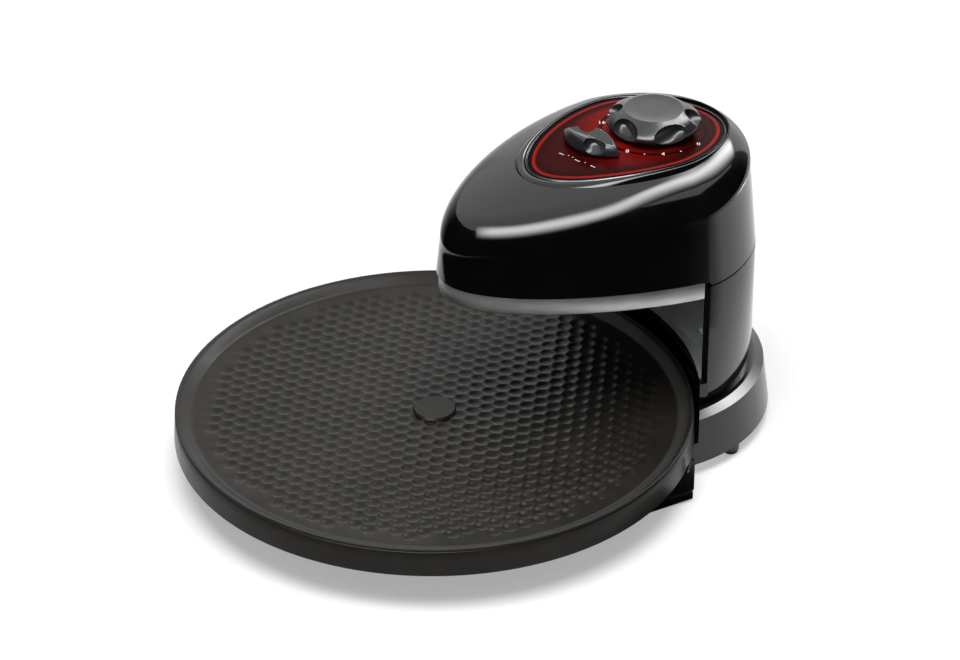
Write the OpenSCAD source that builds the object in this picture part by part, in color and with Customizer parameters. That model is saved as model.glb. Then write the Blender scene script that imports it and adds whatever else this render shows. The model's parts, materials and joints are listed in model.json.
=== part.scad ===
// Countertop rotating cooker: a turning tray on a low base, heated from below by
// an element in the base and from above by a fixed cantilevered head.
// All lengths are in millimetres. +Z is up, -Y is the front, and the origin is
// on the table under the middle of the object's footprint.

/* [Tray] */
// Diameter of the tray across its rim
tray_d = 330; // [300:1:350]
// Thickness of the tray's metal
tray_t = 1.4; // [1:0.1:2]
// Height of the tray's rim above the table
rim_z = 43.5; // [42:0.5:48]
// Depth of the cooking floor below the rim
tray_deep = 5.5; // [4:0.5:7]
// Height of the tray's outer skirt
skirt_h = 18.7; // [17:0.1:20]
// How far the skirt flares out at its lower edge
skirt_flare = 1; // [0:0.5:2]
// Width of the flat rim
rim_w = 2; // [1:0.5:4]
// Width of the slope between the rim and the floor
slope_w = 8; // [5:0.5:12]
// Diameter of the disc in the middle of the tray
hub_d = 28; // [22:1:36]
// Thickness of the disc in the middle of the tray
hub_t = 1.5; // [1:0.1:3]
// Air between the tray's edge and the housing around it
tray_air = 2.5; // [2:0.5:5]
// How far the tray lifts to clear its spindle
tray_lift = 25; // [15:1:40]

/* [Base] */
// Height of the base's underside above the table
foot_h = 8.5; // [7:0.5:9]
// Wall of the moulded plastic shells
wall = 2.5; // [2:0.1:3]
// Air between the base's deck and the tray's skirt
deck_air = 1.8; // [1.5:0.1:3]
// Radius of the rounded nose of the base
nose_r = 58; // [50:1:65]
// Half width of the base across its wings
wing_half = 123.3; // [118:0.1:126]
// Distance from the tower's centre forward to the rear of the wings
wing_ahead = 17.8; // [14:0.1:24]
// Length of the wings' straight sides
wing_len = 40; // [34:1:48]
// Height that the wing tips rise beside the tray
wing_rise = 8; // [4:0.5:12]
// How far the base flange stands out from the tower at its foot
flange_out = 12.8; // [10:0.1:16]
// Inward draft of the flange's side from foot to shoulder
flange_draft = 4; // [2:0.5:6]
// Height of the flange's shoulder above the table
flange_z = 38.5; // [37:0.5:42]
// Width of the sloping shoulder of the flange
bevel_w = 6; // [4:0.5:7]
// Height of the sloping shoulder of the flange
bevel_h = 2.5; // [2:0.5:4]
// Thickness of the bottom plate
plate_t = 1.2; // [1:0.1:2]
// Radius of the motor dome on the deck
dome_r = 34; // [33:1:38]
// Height of the motor dome above the table
dome_z = 30.5; // [30:0.1:31]

/* [Tower] */
// Half width of the throat that the tray turns in
throat_half = 77; // [72:0.5:78]
// Depth from the throat's back wall to the rear of the tower
service_depth = 52; // [48:1:60]
// Height of the sill beside the tray
sill_z = 57; // [54:0.5:64]
// Height of the seam between the tower and the head
seam_z = 127.7; // [120:0.1:135]
// Thickness of the throat's metal liner
liner_t = 0.8; // [0.6:0.1:1.2]

/* [Head] */
// Distance from the spindle back to the tip of the head
nose_y = 6.2; // [2:0.1:12]
// Half width of the head at the throat
head_half = 84.5; // [83:0.1:88]
// How wide the rounded tip of the head is
nose_round = 38.3; // [34:0.1:42]
// How far the flank curve of the head reaches forward
flank_reach = 61.4; // [55:0.1:65]
// How far the flank curve of the head leans inward
flank_lean = 8.5; // [6:0.5:10]
// Half width of the flat part of the tower's rear
rear_round = 61.4; // [56:0.1:66]
// Step up from the seam to the head's lower edge
edge_step = 2.7; // [2:0.1:5]
// Height of the top of the crown
crown_z = 201.5; // [195:0.5:210]
// Distance from the tower's rear forward to the top of the crown
crown_ahead = 63; // [55:1:72]
// Radius of the crown from front to back
crown_long_r = 333; // [300:1:400]
// Radius of the crown from side to side
crown_side_r = 200; // [180:1:260]
// Lean of the head's side wall in degrees
head_draft = 5.5; // [3:0.5:7]
// Width of the shoulder at the tip of the head
shoulder_nose_w = 4; // [3:0.5:8]
// Width of the shoulder at the rear of the head
shoulder_rear_w = 28; // [22:1:30]
// Height of the shoulder at the tip of the head
shoulder_nose_h = 20; // [14:1:24]
// Height of the shoulder at the rear of the head
shoulder_rear_h = 8; // [5:1:12]
// Height of the bright metal band under the head
band_h = 12; // [9:0.5:14]
// Thickness of the metal band and reflectors
sheet_t = 0.8; // [0.6:0.1:1.2]

/* [Heaters] */
// Diameter of the sheathed heating rods
rod_d = 6.5; // [6:0.1:7]
// Half width of the heating loops
loop_half = 52; // [44:1:54]
// Air between the motor's dome and the heating loops
loop_air = 2.75; // [2:0.25:6]
// Distance from the throat forward to the rear of the heating loops
loop_ahead = 15; // [13:1:18]
// Half spacing of the heating rods' ends
rod_ends = 20; // [16:1:24]
// Radius of the loops' rear bends
bend_r = 12; // [10:1:14]

/* [Controls] */
// Length of the control panel
panel_len = 135.5; // [130:0.5:140]
// Distance from the tower's rear forward to the rear of the control panel
panel_ahead = 16; // [13:0.5:20]
// Half width of the control panel
panel_half = 48; // [44:0.5:52]
// Distance from the panel's rear forward to its widest line
panel_wide_at = 57; // [52:1:62]
// Height of the panel's top at its widest line
panel_z = 197.5; // [196:0.5:199]
// Radius of the panel's arch from front to back
panel_arch_r = 435; // [400:5:600]
// Thickness of the control panel
panel_t = 3; // [2:0.1:4]
// Width of the bright ring round the panel
ring_w = 1.6; // [1:0.1:3]
// Distance from the panel's rear forward to the timer's axis
timer_ahead = 47; // [44:0.5:50]
// Radius of the timer knob
timer_knob_r = 30; // [26:0.5:31]
// Height of the timer knob
timer_knob_h = 14; // [11:0.5:18]
// Radius of the flat top of the timer knob
timer_top_r = 21.5; // [18:0.5:24]
// Number of finger scoops round the timer knob
scoops = 6; // [4:1:8]
// Distance between the timer's axis and the selector's axis
dial_spacing = 46; // [45:0.5:49]
// Length of the selector knob
selector_len = 46; // [40:1:46]
// Width of the selector knob
selector_w = 22; // [18:1:24]
// Height of the selector knob
selector_h = 10; // [8:0.5:13]
// Turn of the selector knob from straight across in degrees
selector_rest = 18; // [10:1:25]
// Radius of the control shafts
shaft_r = 3; // [2.5:0.1:3.5]
// Height of the plate that carries the controls
bracket_z = 184; // [182:0.5:185]

/* [Fits] */
// Running clearance of shafts in their bores, on the radius
run_fit = 0.05; // [0.03:0.01:0.1]
// Assembly clearance between neighbouring parts
gap = 0.3; // [0.2:0.05:0.5]
// Radius of the thread of the housing screws
screw_r = 1.8; // [1.5:0.1:2]
// Radius of the rear columns that the screws hold
column_r = 4.5; // [4:0.1:5]

/* [Hidden] */
$fn = 72;
tiny = 0.01;
drop_r = 7;
guard_pitch = 30;
guard_rows = 4;
guard_front = 39;
guard_back = 16;
guard_over = 10;
strip_len = 45;
strip_ahead = 58;
block_half = 20;
block_deep = 8;
block_pitch = 14;
clip_ahead = 8;
tail_air = 3;
harness_r = 3;
harness_x = 10;
block_screw = 11;
post_x = 17.5;
post_in = 12;
reflector_drop = 8;
screw_in = 16;
screw_ahead = 22;
pad_h = 8;
pad_in = 14;
bell_r = 13;
bell_h = 9;
bell_t = 1;
bell_drop = 20;
shaft_deep = 10;
peg_r = 5.5;
peg_step = 1.5;
foot_pad_h = 3;
screw_head_r = 3.6;
screw_head_h = 2.4;
screw_len = 12;
small_r = 1.2;
small_head_r = 2.6;
small_head_h = 1.6;
small_len = 5;
bracket_t = 1.5;
neck_r = 5.6;
timer_can_r = 24;
timer_can_h = 28;
motor_r = 22;
motor_h = 15;
motor_ear = 26;
post_h = 2.8;
spindle_r = 5.5;
pin_r = 4;
pin_flat = 3;
gland_z = 22;
gland_r = 7.8;
cord_r = 3.6;
pod_front = 8;
pod_back = 3.4;
seat_w = 4;
tray_r = tray_d / 2;
skirt_z = rim_z - skirt_h;
floor_z = rim_z - tray_deep;
tray_edge_r = tray_r + skirt_flare;
clear_r = tray_edge_r + tray_air;
deck_z = skirt_z - deck_air;
jamb_air = 1;
jamb_y = sqrt(pow(clear_r + jamb_air, 2) - pow(throat_half, 2));
throat_back = clear_r + tray_air;
rear_y = throat_back + service_depth;
tower_foot_z = flange_z + bevel_h;
head_z = seam_z + edge_step;
band_z = head_z - band_h;
flank_y = jamb_y - 2;
crown_y = rear_y - crown_ahead;
loop_back = jamb_y - loop_ahead;
loop_front = dome_r + loop_air + rod_d / 2 + loop_half;
panel_back = rear_y - panel_ahead;
panel_front = panel_back - panel_len;
panel_mid = panel_back - panel_wide_at;
timer_y = panel_back - timer_ahead;
selector_y = timer_y - dial_spacing;
corner_share = 0.3;
tower_r = head_half + 2.7;
base_c = rear_y - tower_r;
wing_back = base_c - wing_ahead;
wing_front = wing_back - wing_len;
flange_r = tower_r + flange_out;
axis_y = (tray_edge_r - base_c - flange_r) / 2;
service_y = throat_back + liner_t + wall;
column_y = service_y + column_r - 0.8;
columns = [[60, column_y], [-60, column_y], [0, rear_y - wall - column_r - 0.5]];
dome_top = floor_z - tray_t;
motor_top = dome_z - wall - post_h;
motor_z = motor_top - motor_h;
high = crown_z + 40;
block_y = rear_y - 23;
block_h = 15;
liner_screws = [for (s = [-1, 1], z = [sill_z + 11, band_z - 9]) [s * (throat_half - 32), z]];
pad_y = throat_back - 13;
low_rod_z = deck_z + 7;
top_rod_z = head_z - 2.4;
reflector_z = head_z + 5.6;
pan_inner_z = deck_z - wall;
foot_pegs = concat(
    [for (s = [-1, 1]) [s * (flange_r - peg_r - 1) * cos(21), base_c + (flange_r - peg_r - 1) * sin(21)]],
    [for (s = [-1, 1]) (nose_r - 10.8) * [s * cos(53.6), -sin(53.6)]]);
plate_screws = [[0, screw_in - 3 - nose_r], [wing_half - screw_in, wing_back - screw_ahead],
    [screw_in - wing_half, wing_back - screw_ahead],
    [flange_r * 0.7, base_c + flange_r * 0.48], [-flange_r * 0.7, base_c + flange_r * 0.48]];
bracket_posts = [for (s = [-1, 1], p = [[post_x, panel_front + post_x], [panel_half - post_in, panel_mid],
    [post_x, panel_back - post_x]]) [s * p.x, p.y]];
timer_z = panel_z - pow(timer_y - panel_mid, 2) / (2 * panel_arch_r) + 1;
selector_z = panel_z - pow(selector_y - panel_mid, 2) / (2 * panel_arch_r) + 1.5;

// Points along a cubic curve, without its last point
function curve(a, b, c, d, n) = [for (i = [0 : n - 1]) let (t = i / n, u = 1 - t)
    u * u * u * a + 3 * u * u * t * b + 3 * u * t * t * c + t * t * t * d];
function mirrored(p) = [for (i = [len(p) - 1 : -1 : 1]) [-p[i].x, p[i].y]];
function unit(v) = v / norm(v);
function edge_normal(p, i) = let (n = len(p), d = unit(p[(i + 1) % n] - p[(i + n - 1) % n])) [d.y, -d.x];
function inset(p, w) = [for (i = [0 : len(p) - 1]) p[i] - w * edge_normal(p, i)];

// Plan of the head and the tower, anticlockwise from the tip
flank_end = [head_half, flank_y];
flank_step = [flank_lean, flank_reach];
plan_half = concat(
    curve([0, nose_y], [nose_round, nose_y], flank_end - flank_step, flank_end, 16),
    curve(flank_end, flank_end + corner_share * flank_step, [rear_round, rear_y], [0, rear_y], 12),
    [[0, rear_y]]);
plan = concat(plan_half, [for (i = [len(plan_half) - 2 : -1 : 1]) [-plan_half[i].x, plan_half[i].y]]);

// Plan of the control panel
panel_nose = 25;
panel_tail = 26;
egg_half = concat(
    curve([0, panel_front], [panel_nose, panel_front], [panel_half, panel_mid - 34], [panel_half, panel_mid], 16),
    curve([panel_half, panel_mid], [panel_half, panel_mid + 24], [panel_tail, panel_back], [0, panel_back], 12),
    [[0, panel_back]]);
egg = concat(egg_half, [for (i = [len(egg_half) - 2 : -1 : 1]) [-egg_half[i].x, egg_half[i].y]]);

function crown(x, y) = crown_z - pow(y - crown_y, 2) / (2 * crown_long_r) - x * x / (2 * crown_side_r);
function panel_top(y) = panel_z - pow(y - panel_mid, 2) / (2 * panel_arch_r);
function along(y) = min(1, max(0, (y - nose_y) / (rear_y - nose_y)));
function shoulder_w(y) = shoulder_nose_w + (shoulder_rear_w - shoulder_nose_w) * along(y);
function shoulder_h(y) = shoulder_nose_h + (shoulder_rear_h - shoulder_nose_h) * along(y);

module at_axis() { translate([0, axis_y, 0]) children(); }
module mirror_x() { children(); mirror([1, 0, 0]) children(); }
module box(x0, x1, y0, y1, z0, z1) { translate([x0, y0, z0]) cube([x1 - x0, y1 - y0, z1 - z0]); }
module tube(r_out, r_in, z0, z1) {
    translate([0, 0, z0]) difference() {
        cylinder(r = r_out, h = z1 - z0);
        translate([0, 0, -1]) cylinder(r = r_in, h = z1 - z0 + 2);
    }
}
module pillar(r, z0, z1) { translate([0, 0, z0]) cylinder(r = r, h = z1 - z0); }
module slab(z0, z1) { translate([0, 0, z0]) linear_extrude(z1 - z0) children(); }
module plan_ring(outer, inner) {
    difference() { polygon(inset(plan, outer)); polygon(inset(plan, inner)); }
}
module front_of(y) { intersection() { children(); translate([-200, -200]) square([400, 200 + y]); } }
module behind(y) { intersection() { children(); translate([-200, y]) square([400, 400]); } }

// ---- shared shapes ----
wing_corner = [wing_half, wing_front];
wing_ang = atan2(wing_front, wing_half) - acos(nose_r / norm(wing_corner));
function wing_tip_y(w) = (nose_r - w - (wing_half - w) * cos(wing_ang)) / sin(wing_ang);
function flange_at(z) = flange_r - (z - foot_h) * flange_draft / (flange_z - foot_h);
function half_at(y) = lookup(y, [for (p = plan_half) [p.y, p.x]]);

// The way for wires between the tower's screw columns
module wire_way(z0, z1) { box(-30, 30, column_y + 6, rear_y - 2 * column_r - 8, z0, z1); }
module loop_holes(air, z0, z1) {
    for (s = [-1, 1]) translate([s * rod_ends, loop_back, 0]) pillar(rod_d / 2 + air, z0, z1);
}
module wing_outline(w) {
    tip = (nose_r - w) * [cos(wing_ang), sin(wing_ang)];
    side = [wing_half - w, wing_tip_y(w)];
    back = [wing_half - w, wing_back - w];
    polygon([tip, side, back, [-back.x, back.y], [-side.x, side.y], [-tip.x, tip.y]]);
    circle(r = nose_r - w);
}
// A round-backed body with straight sides, narrowing from r0 to r1
module horseshoe(r0, r1, z0, z1, y0) {
    translate([0, base_c, z0]) cylinder(r1 = r0, r2 = r1, h = z1 - z0);
    translate([0, base_c, 0]) rotate([90, 0, 0])
        linear_extrude(base_c - y0) polygon([[-r0, z0], [r0, z0], [r1, z1], [-r1, z1]]);
}
module flange_body(w, z0, z1, y0) { horseshoe(flange_at(z0) - w, flange_at(z1) - w, z0, z1, y0); }
module at_points(p) { for (q = p) translate([q.x, q.y, 0]) children(); }
module rod_x(x0, x1, y, z, r) { translate([x0, y, z]) rotate([0, 90, 0]) cylinder(r = r, h = x1 - x0); }
module rod_y(x, y0, y1, z, r) { translate([x, y0, z]) rotate([-90, 0, 0]) cylinder(r = r, h = y1 - y0); }

// A housing screw with its head at z = 0 and its shank upwards
module housing_screw() {
    pillar(screw_r, -tiny, screw_len);
    difference() {
        pillar(screw_head_r, -screw_head_h, 0);
        for (a = [0, 90]) rotate([0, 0, a]) box(-2, 2, -0.4, 0.4, -screw_head_h - 1, -screw_head_h + 1);
    }
}
module small_screw() {
    pillar(small_r, -tiny, small_len);
    difference() {
        pillar(small_head_r, -small_head_h, 0);
        box(-3, 3, -0.3, 0.3, -small_head_h - 1, -small_head_h + 0.7);
    }
}
// The spindle's tip and its socket: a round bar with two flats
module two_flats(r, flat, z0, z1) {
    intersection() { pillar(r, z0, z1); box(-flat, flat, -r - 1, r + 1, z0 - 1, z1 + 1); }
}

// ---- base ----
module base_shell() {
    color([0.05, 0.05, 0.055]) at_axis() {
        difference() {
            union() {
                slab(foot_h, deck_z) wing_outline(0);
                slab(deck_z - 1, deck_z + wing_rise) difference() {
                    wing_outline(0);
                    circle(r = clear_r - 1);
                    translate([-flange_r - 5, 0]) square([2 * flange_r + 10, 400]);
                }
                flange_body(0, foot_h, flange_z, wing_back - 8);
                horseshoe(flange_at(flange_z), flange_at(flange_z) - bevel_w,
                    flange_z, tower_foot_z, wing_back - 8);
            }
            translate([0, 0, deck_z]) cylinder(r = clear_r, h = 100);
            difference() {
                union() {
                    slab(foot_h - 1, pan_inner_z) wing_outline(wall);
                    flange_body(wall, foot_h - 1, tower_foot_z - wall, wing_back - 8);
                }
                translate([0, 0, pan_inner_z]) cylinder(r = clear_r + wall, h = 100);
            }
            wire_way(flange_z - 5, tower_foot_z + 1);
            at_points(columns) pillar(screw_r + gap, flange_z - 5, tower_foot_z + 1);
            rod_y(0, base_c, 2 * rear_y, gland_z, gland_r + 0.2);
            loop_holes(gap, foot_h, tower_foot_z);
            pillar(dome_r - wall, foot_h, dome_z - wall);
            pillar(spindle_r + 2, foot_h, high);
        }
        difference() {
            union() {
                pillar(dome_r, pan_inner_z, dome_z);
                for (p = plate_screws) translate([p.x, p.y, 0])
                    pillar(column_r, foot_h + plate_t, (p.y > base_c ? tower_foot_z : deck_z) - 1);
            }
            pillar(dome_r - wall, pan_inner_z - 1, dome_z - wall);
            pillar(spindle_r + 2, foot_h, high);
            for (s = [-1, 1]) translate([s * motor_ear, 0, 0]) pillar(small_r, foot_h, dome_z - 1);
            at_points(plate_screws) pillar(screw_r, foot_h, foot_h + screw_len + gap);
        }
        for (s = [-1, 1]) translate([s * motor_ear, 0, 0])
            tube(3.5, small_r, motor_top, dome_z - wall + 0.1);
        at_points(foot_pegs) {
            pillar(peg_r, foot_pad_h, foot_h);
            pillar(peg_r - peg_step, foot_h - 1, pan_inner_z + 1);
        }
        wing_strip(1.5, 12, foot_pad_h / 2, foot_h);
        wing_strip(1.5, wall - 0.5, foot_h - 1, foot_h + 1);
    }
}

// The foot strip under the edge of each wing
module wing_strip(outer, inner, z0, z1) {
    slab(z0, z1) intersection() {
        difference() {
            wing_outline(outer);
            wing_outline(inner);
            translate([-flange_r, wing_back - 14]) square([2 * flange_r, 100]);
        }
        mirror_x() translate([wing_half - strip_len, wing_front - strip_ahead]) square([2 * strip_len, wing_back]);
    }
}
module base_bottom() {
    r = flange_at(foot_h + plate_t) - wall - gap;
    color([0.55, 0.56, 0.57]) at_axis() difference() {
        union() {
            slab(foot_h, foot_h + plate_t) wing_outline(wall + gap);
            horseshoe(r, r, foot_h, foot_h + plate_t, wing_back - 8);
        }
        at_points(plate_screws) pillar(screw_r + gap, 0, 20);
        at_points(foot_pegs) pillar(peg_r - peg_step + gap, 0, 20);
        for (s = [-1, 1], y = [wing_front - 8 : 12 : wing_back - 12])
            box(s * (wing_half - 51) - 14, s * (wing_half - 51) + 14, y - 2, y + 2, 0, 20);
        for (s = [-1, 1]) translate([s * block_screw, block_y, 0]) pillar(small_r + gap, 0, 20);
    }
}
module rubber_feet() {
    color([0.07, 0.07, 0.07]) at_axis() {
        at_points(foot_pegs) rotate_extrude()
            polygon([[0, 0], [peg_r - 1.6, 0], [peg_r - 0.8, 0.8], [peg_r - 0.8, foot_pad_h],
                [0, foot_pad_h]]);
        wing_strip(3, 10.5, 0, foot_pad_h / 2);
    }
}
// The bright tray on the deck that throws the lower element's heat upwards
module lower_reflector() {
    z0 = deck_z + gap;
    r = loop_half + rod_d / 2 + 5;
    module dish(w) {
        translate([0, loop_front]) circle(r = r - w);
        translate([w - r, loop_front]) square([2 * (r - w), loop_back + rod_d / 2 + 5 - loop_front - w]);
    }
    color([0.72, 0.73, 0.72]) at_axis() difference() {
        slab(z0, z0 + 5) dish(0);
        slab(z0 + sheet_t, z0 + 6) dish(sheet_t);
        pillar(dome_r + gap, 0, high);
        loop_holes(gap, foot_h, tower_foot_z);
    }
}
// A heating loop at height z whose tails turn up (dir 1) or down (dir -1)
module heating_loop(z, dir) {
    r = rod_d / 2;
    translate([0, loop_front, z]) rotate([0, 0, 180]) rotate_extrude(angle = 180)
        translate([loop_half, 0]) circle(r = r, $fn = 24);
    mirror_x() {
        rod_y(loop_half, loop_front, loop_back - bend_r, z, r, $fn = 24);
        translate([loop_half - bend_r, loop_back - bend_r, z]) rotate_extrude(angle = 90)
            translate([bend_r, 0]) circle(r = r, $fn = 24);
        rod_x(rod_ends + drop_r, loop_half - bend_r, loop_back, z, r, $fn = 24);
        translate([rod_ends + drop_r, loop_back, z + dir * drop_r]) rotate([90, 0, 0])
            rotate([0, 0, dir > 0 ? 180 : 90]) rotate_extrude(angle = 90)
                translate([drop_r, 0]) circle(r = r, $fn = 24);
    }
}
module loop_tails(z0, z1) {
    for (s = [-1, 1]) translate([s * rod_ends, loop_back, 0]) pillar(rod_d / 2, z0, z1, $fn = 24);
}
module lower_element() {
    color([0.2, 0.19, 0.18]) at_axis() {
        heating_loop(low_rod_z, -1);
        loop_tails(foot_h + plate_t + tail_air, low_rod_z - drop_r);
    }
}
module clip_ring(z, z_sheet) {
    up = z_sheet > z ? 1 : -1;
    rotate([90, 0, 0]) translate([0, z, -3]) linear_extrude(6) difference() {
        union() {
            circle(r = rod_d / 2 + 1.2);
            translate([-1.5, up > 0 ? 0 : z_sheet - z]) square([3, abs(z_sheet - z)]);
        }
        circle(r = rod_d / 2 + 0.05);
    }
}
module element_clips(z, z_sheet) {
    for (s = [-1, 1]) translate([s * loop_half, loop_front + clip_ahead, 0]) clip_ring(z, z_sheet);
    translate([0, loop_front - loop_half, 0]) rotate([0, 0, 90]) clip_ring(z, z_sheet);
}
module lower_element_clips() {
    color([0.6, 0.61, 0.62]) at_axis() element_clips(low_rod_z, deck_z + gap + sheet_t);
}

// ---- drive ----
module drive_motor() {
    color([0.66, 0.66, 0.62]) at_axis() difference() {
        union() {
            pillar(motor_r, motor_z, motor_top);
            pillar(spindle_r + 1, motor_top - 1, motor_top + 1);
            slab(motor_top - 1, motor_top) {
                for (s = [-1, 1]) translate([s * motor_ear, 0]) circle(r = 3.8);
                translate([-motor_ear, -3.8]) square([2 * motor_ear, 7.6]);
            }
            box(-6, 6, motor_r - 3, motor_r + 4, motor_z + 2, motor_z + 9);
        }
        pillar(3.5 + run_fit, motor_z + 3, high);
        for (s = [-1, 1]) translate([s * motor_ear, 0, 0]) pillar(small_r + 0.1, 0, high);
    }
}
module motor_shaft() {
    color([0.75, 0.75, 0.76]) at_axis() pillar(3.5, motor_z + 4, dome_z - 1);
}
module drive_spindle() {
    collar_z = dome_z + 0.7;
    color([0.78, 0.78, 0.79]) at_axis() difference() {
        union() {
            pillar(spindle_r, motor_top + 1.3, collar_z);
            pillar(8, dome_z + 0.4, collar_z);
            two_flats(pin_r, pin_flat, collar_z - tiny, floor_z - 0.5);
        }
        pillar(3.5 + 0.02, 0, dome_z - 1);
    }
}
module spindle_bushing() {
    color([0.72, 0.58, 0.3]) at_axis() {
        tube(spindle_r + 2, spindle_r + run_fit, dome_z - wall - 1, dome_z);
        tube(spindle_r + 4, spindle_r + run_fit, dome_z, dome_z + 0.3);
    }
}

// ---- tray ----
module tray_pan() {
    in_r = tray_r - rim_w;
    low_r = in_r - slope_w;
    color([0.2, 0.19, 0.18]) at_axis() rotate_extrude($fn = 180) polygon([
        [spindle_r + 0.5, dome_top], [low_r - 0.6, dome_top], [in_r - 0.6, rim_z - tray_t],
        [tray_r - tray_t, rim_z - tray_t], [tray_edge_r - tray_t, skirt_z], [tray_edge_r, skirt_z],
        [tray_r, rim_z - 1], [tray_r - 1, rim_z], [in_r, rim_z], [low_r, floor_z],
        [spindle_r + 0.5, floor_z]]);
}
module hub_cap() {
    color([0.22, 0.21, 0.2]) at_axis() rotate_extrude() polygon([[0, floor_z], [hub_d / 2, floor_z],
        [hub_d / 2 - 1, floor_z + hub_t], [0, floor_z + hub_t]]);
}
module drive_socket() {
    color([0.6, 0.6, 0.61]) at_axis() difference() {
        union() {
            pillar(9, dome_z + 0.75, dome_top);
            pillar(spindle_r + 0.4, dome_top - tiny, floor_z);
        }
        two_flats(pin_r + run_fit, pin_flat + run_fit, 0, high);
    }
}

// ---- tower ----
module tower_shell() {
    back = throat_back + liner_t;
    color([0.05, 0.05, 0.055]) at_axis() difference() {
        union() {
            slab(tower_foot_z, sill_z) difference() { polygon(plan); circle(r = clear_r); }
            slab(sill_z - liner_t, seam_z) behind(jamb_y) polygon(plan);
        }
        box(-throat_half - liner_t, throat_half + liner_t, 0, back, sill_z - liner_t, high);
        slab(0, high) behind(service_y) difference() {
            polygon(inset(plan, wall));
            at_points(columns) circle(r = column_r);
            translate([-1.2, columns[2].y]) square([2.4, 60]);
        }
        slab(0, sill_z - liner_t - wall) difference() {
            polygon(inset(plan, wall));
            circle(r = clear_r + wall);
            translate([-200, service_y - wall]) square([400, 400]);
        }
        at_points(columns) pillar(screw_r + 0.05, 0, high);
        for (p = liner_screws) rod_y(p.x, throat_back - 5, service_y + 5, p.y, small_r);
    }
}
// The bright metal lining of the space that the tray turns through
module throat_liner() {
    h = throat_half + liner_t;
    back = throat_back + liner_t;
    color([0.42, 0.46, 0.44]) at_axis() difference() {
        union() {
            slab(sill_z - liner_t, sill_z) difference() {
                translate([-h, jamb_y - 12]) square([2 * h, back - jamb_y + 12]);
                circle(r = clear_r);
            }
            box(-h, h, throat_back, back, sill_z - tiny, seam_z);
            for (s = [-1, 1]) translate([s * (throat_half + liner_t / 2), 0, 0])
                box(-liner_t / 2, liner_t / 2, jamb_y + 0.5, back, sill_z - tiny, seam_z);
        }
        for (p = liner_screws) rod_y(p.x, throat_back - 5, service_y + 5, p.y, small_r + 0.1);
    }
}
module wire_harness() {
    module run(x, y0, z0, y1, z1) {
        r = harness_r;
        rod_z1 = z1 - 2 * r;
        translate([x, y0, z0]) cylinder(r = r, h = rod_z1 - z0);
        translate([x, y0, rod_z1]) sphere(r = r + 0.4, $fn = 24);
        rod_y(x, min(y0, y1), max(y0, y1), rod_z1, r);
        translate([x, y1, rod_z1]) sphere(r = r + 0.4, $fn = 24);
        translate([x, y1, rod_z1]) cylinder(r = r, h = 2 * r);
    }
    color([0.75, 0.72, 0.66]) at_axis() for (s = [-1, 1])
        run(s * harness_x, block_y - 2, foot_h + plate_t + block_h + gap, timer_y - timer_can_r + 4, bracket_z - timer_can_h - 1);
}
module cord_gland() {
    y1 = base_c + sqrt(pow(flange_at(gland_z - 8), 2) - 81);
    color([0.08, 0.08, 0.08]) at_axis() difference() {
        union() {
            rod_y(0, y1 - 14, y1 - 0.2, gland_z, gland_r);
            rod_y(0, y1 - wall - 4, y1 - wall - 2.5, gland_z, 10);
        }
        rod_y(0, 0, 2 * rear_y, gland_z, cord_r);
    }
}
module terminal_block() {
    z0 = foot_h + plate_t;
    color([0.86, 0.85, 0.8]) at_axis() difference() {
        box(-block_half, block_half, block_y - block_deep, block_y + block_deep, z0, z0 + block_h);
        for (x = [-block_pitch : block_pitch : block_pitch]) {
            translate([x, block_y + block_deep / 2, 0]) pillar(2.2, z0 + block_h / 2, high);
            rod_y(x, block_y - 2 * block_deep, block_y + 2 * block_deep, z0 + block_h / 3, 2);
        }
        for (s = [-1, 1]) translate([s * block_screw, block_y, 0]) pillar(small_r, 0, z0 + 6);
    }
}

// ---- head ----
function drop_at(d, y) = let (w = shoulder_w(y), h = shoulder_h(y))
    d >= w ? 0 : h * (1 - sqrt(max(0, 1 - pow(1 - d / w, 2))));
// The edge where the head's side wall turns into its shoulder, shrunk by off
function brow(off) = [for (i = [0 : len(plan) - 1])
    let (p = plan[i], n = edge_normal(plan, i), z = crown(p.x, p.y) - shoulder_h(p.y),
        q = p - n * ((z - seam_z) * tan(head_draft) + off)) [q.x, q.y, z - off]];
// A ring on the crown, a share f of the way from the brow to the panel frame
function crown_ring(f, off, rim) = let (b = brow(off)) [for (i = [0 : len(plan) - 1])
    let (e = rim[i], q = [b[i].x, b[i].y] + f * (e - [b[i].x, b[i].y]),
        d = max(0, ([b[i].x, b[i].y] - q) * edge_normal(plan, i)))
    [q.x, q.y, crown(q.x, q.y) - drop_at(d, plan[i].y) - off]];
function at_height(p, z) = [for (q = p) [q.x, q.y, z]];
function egg_ring(front, back) = [for (i = [0 : len(egg) - 1])
    egg[i] + edge_normal(egg, i) * (front + (back - front) * (egg[i].y - panel_front) / (panel_back - panel_front))];

// A closed skin over rings of points, each ring joined to the next and the last to the first
module ring_skin(rings) {
    n = len(rings[0]);
    m = len(rings);
    polyhedron([for (r = rings) each r], [for (j = [0 : m - 1], i = [0 : n - 1], t = [0, 1])
        let (a = j * n + i, b = j * n + (i + 1) % n, c = (j + 1) % m * n + i, d = (j + 1) % m * n + (i + 1) % n)
        t == 0 ? [a, c, d] : [a, d, b]]);
}
module head_shell() {
    rim = egg_ring(pod_front, pod_back);
    steps = [0, 0.02, 0.06, 0.13, 0.22, 0.34, 0.5, 0.75, 1];
    function foot(w) = [for (q = inset(plan, w)) [q.x, q.y, q.y < jamb_y ? head_z : seam_z]];
    color([0.05, 0.05, 0.055]) at_axis() ring_skin(concat(
        [foot(0)], [for (f = steps) crown_ring(f, 0, rim)],
        [for (i = [len(steps) - 1 : -1 : 0]) crown_ring(steps[i], wall, rim)], [foot(wall)]));
}
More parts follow.
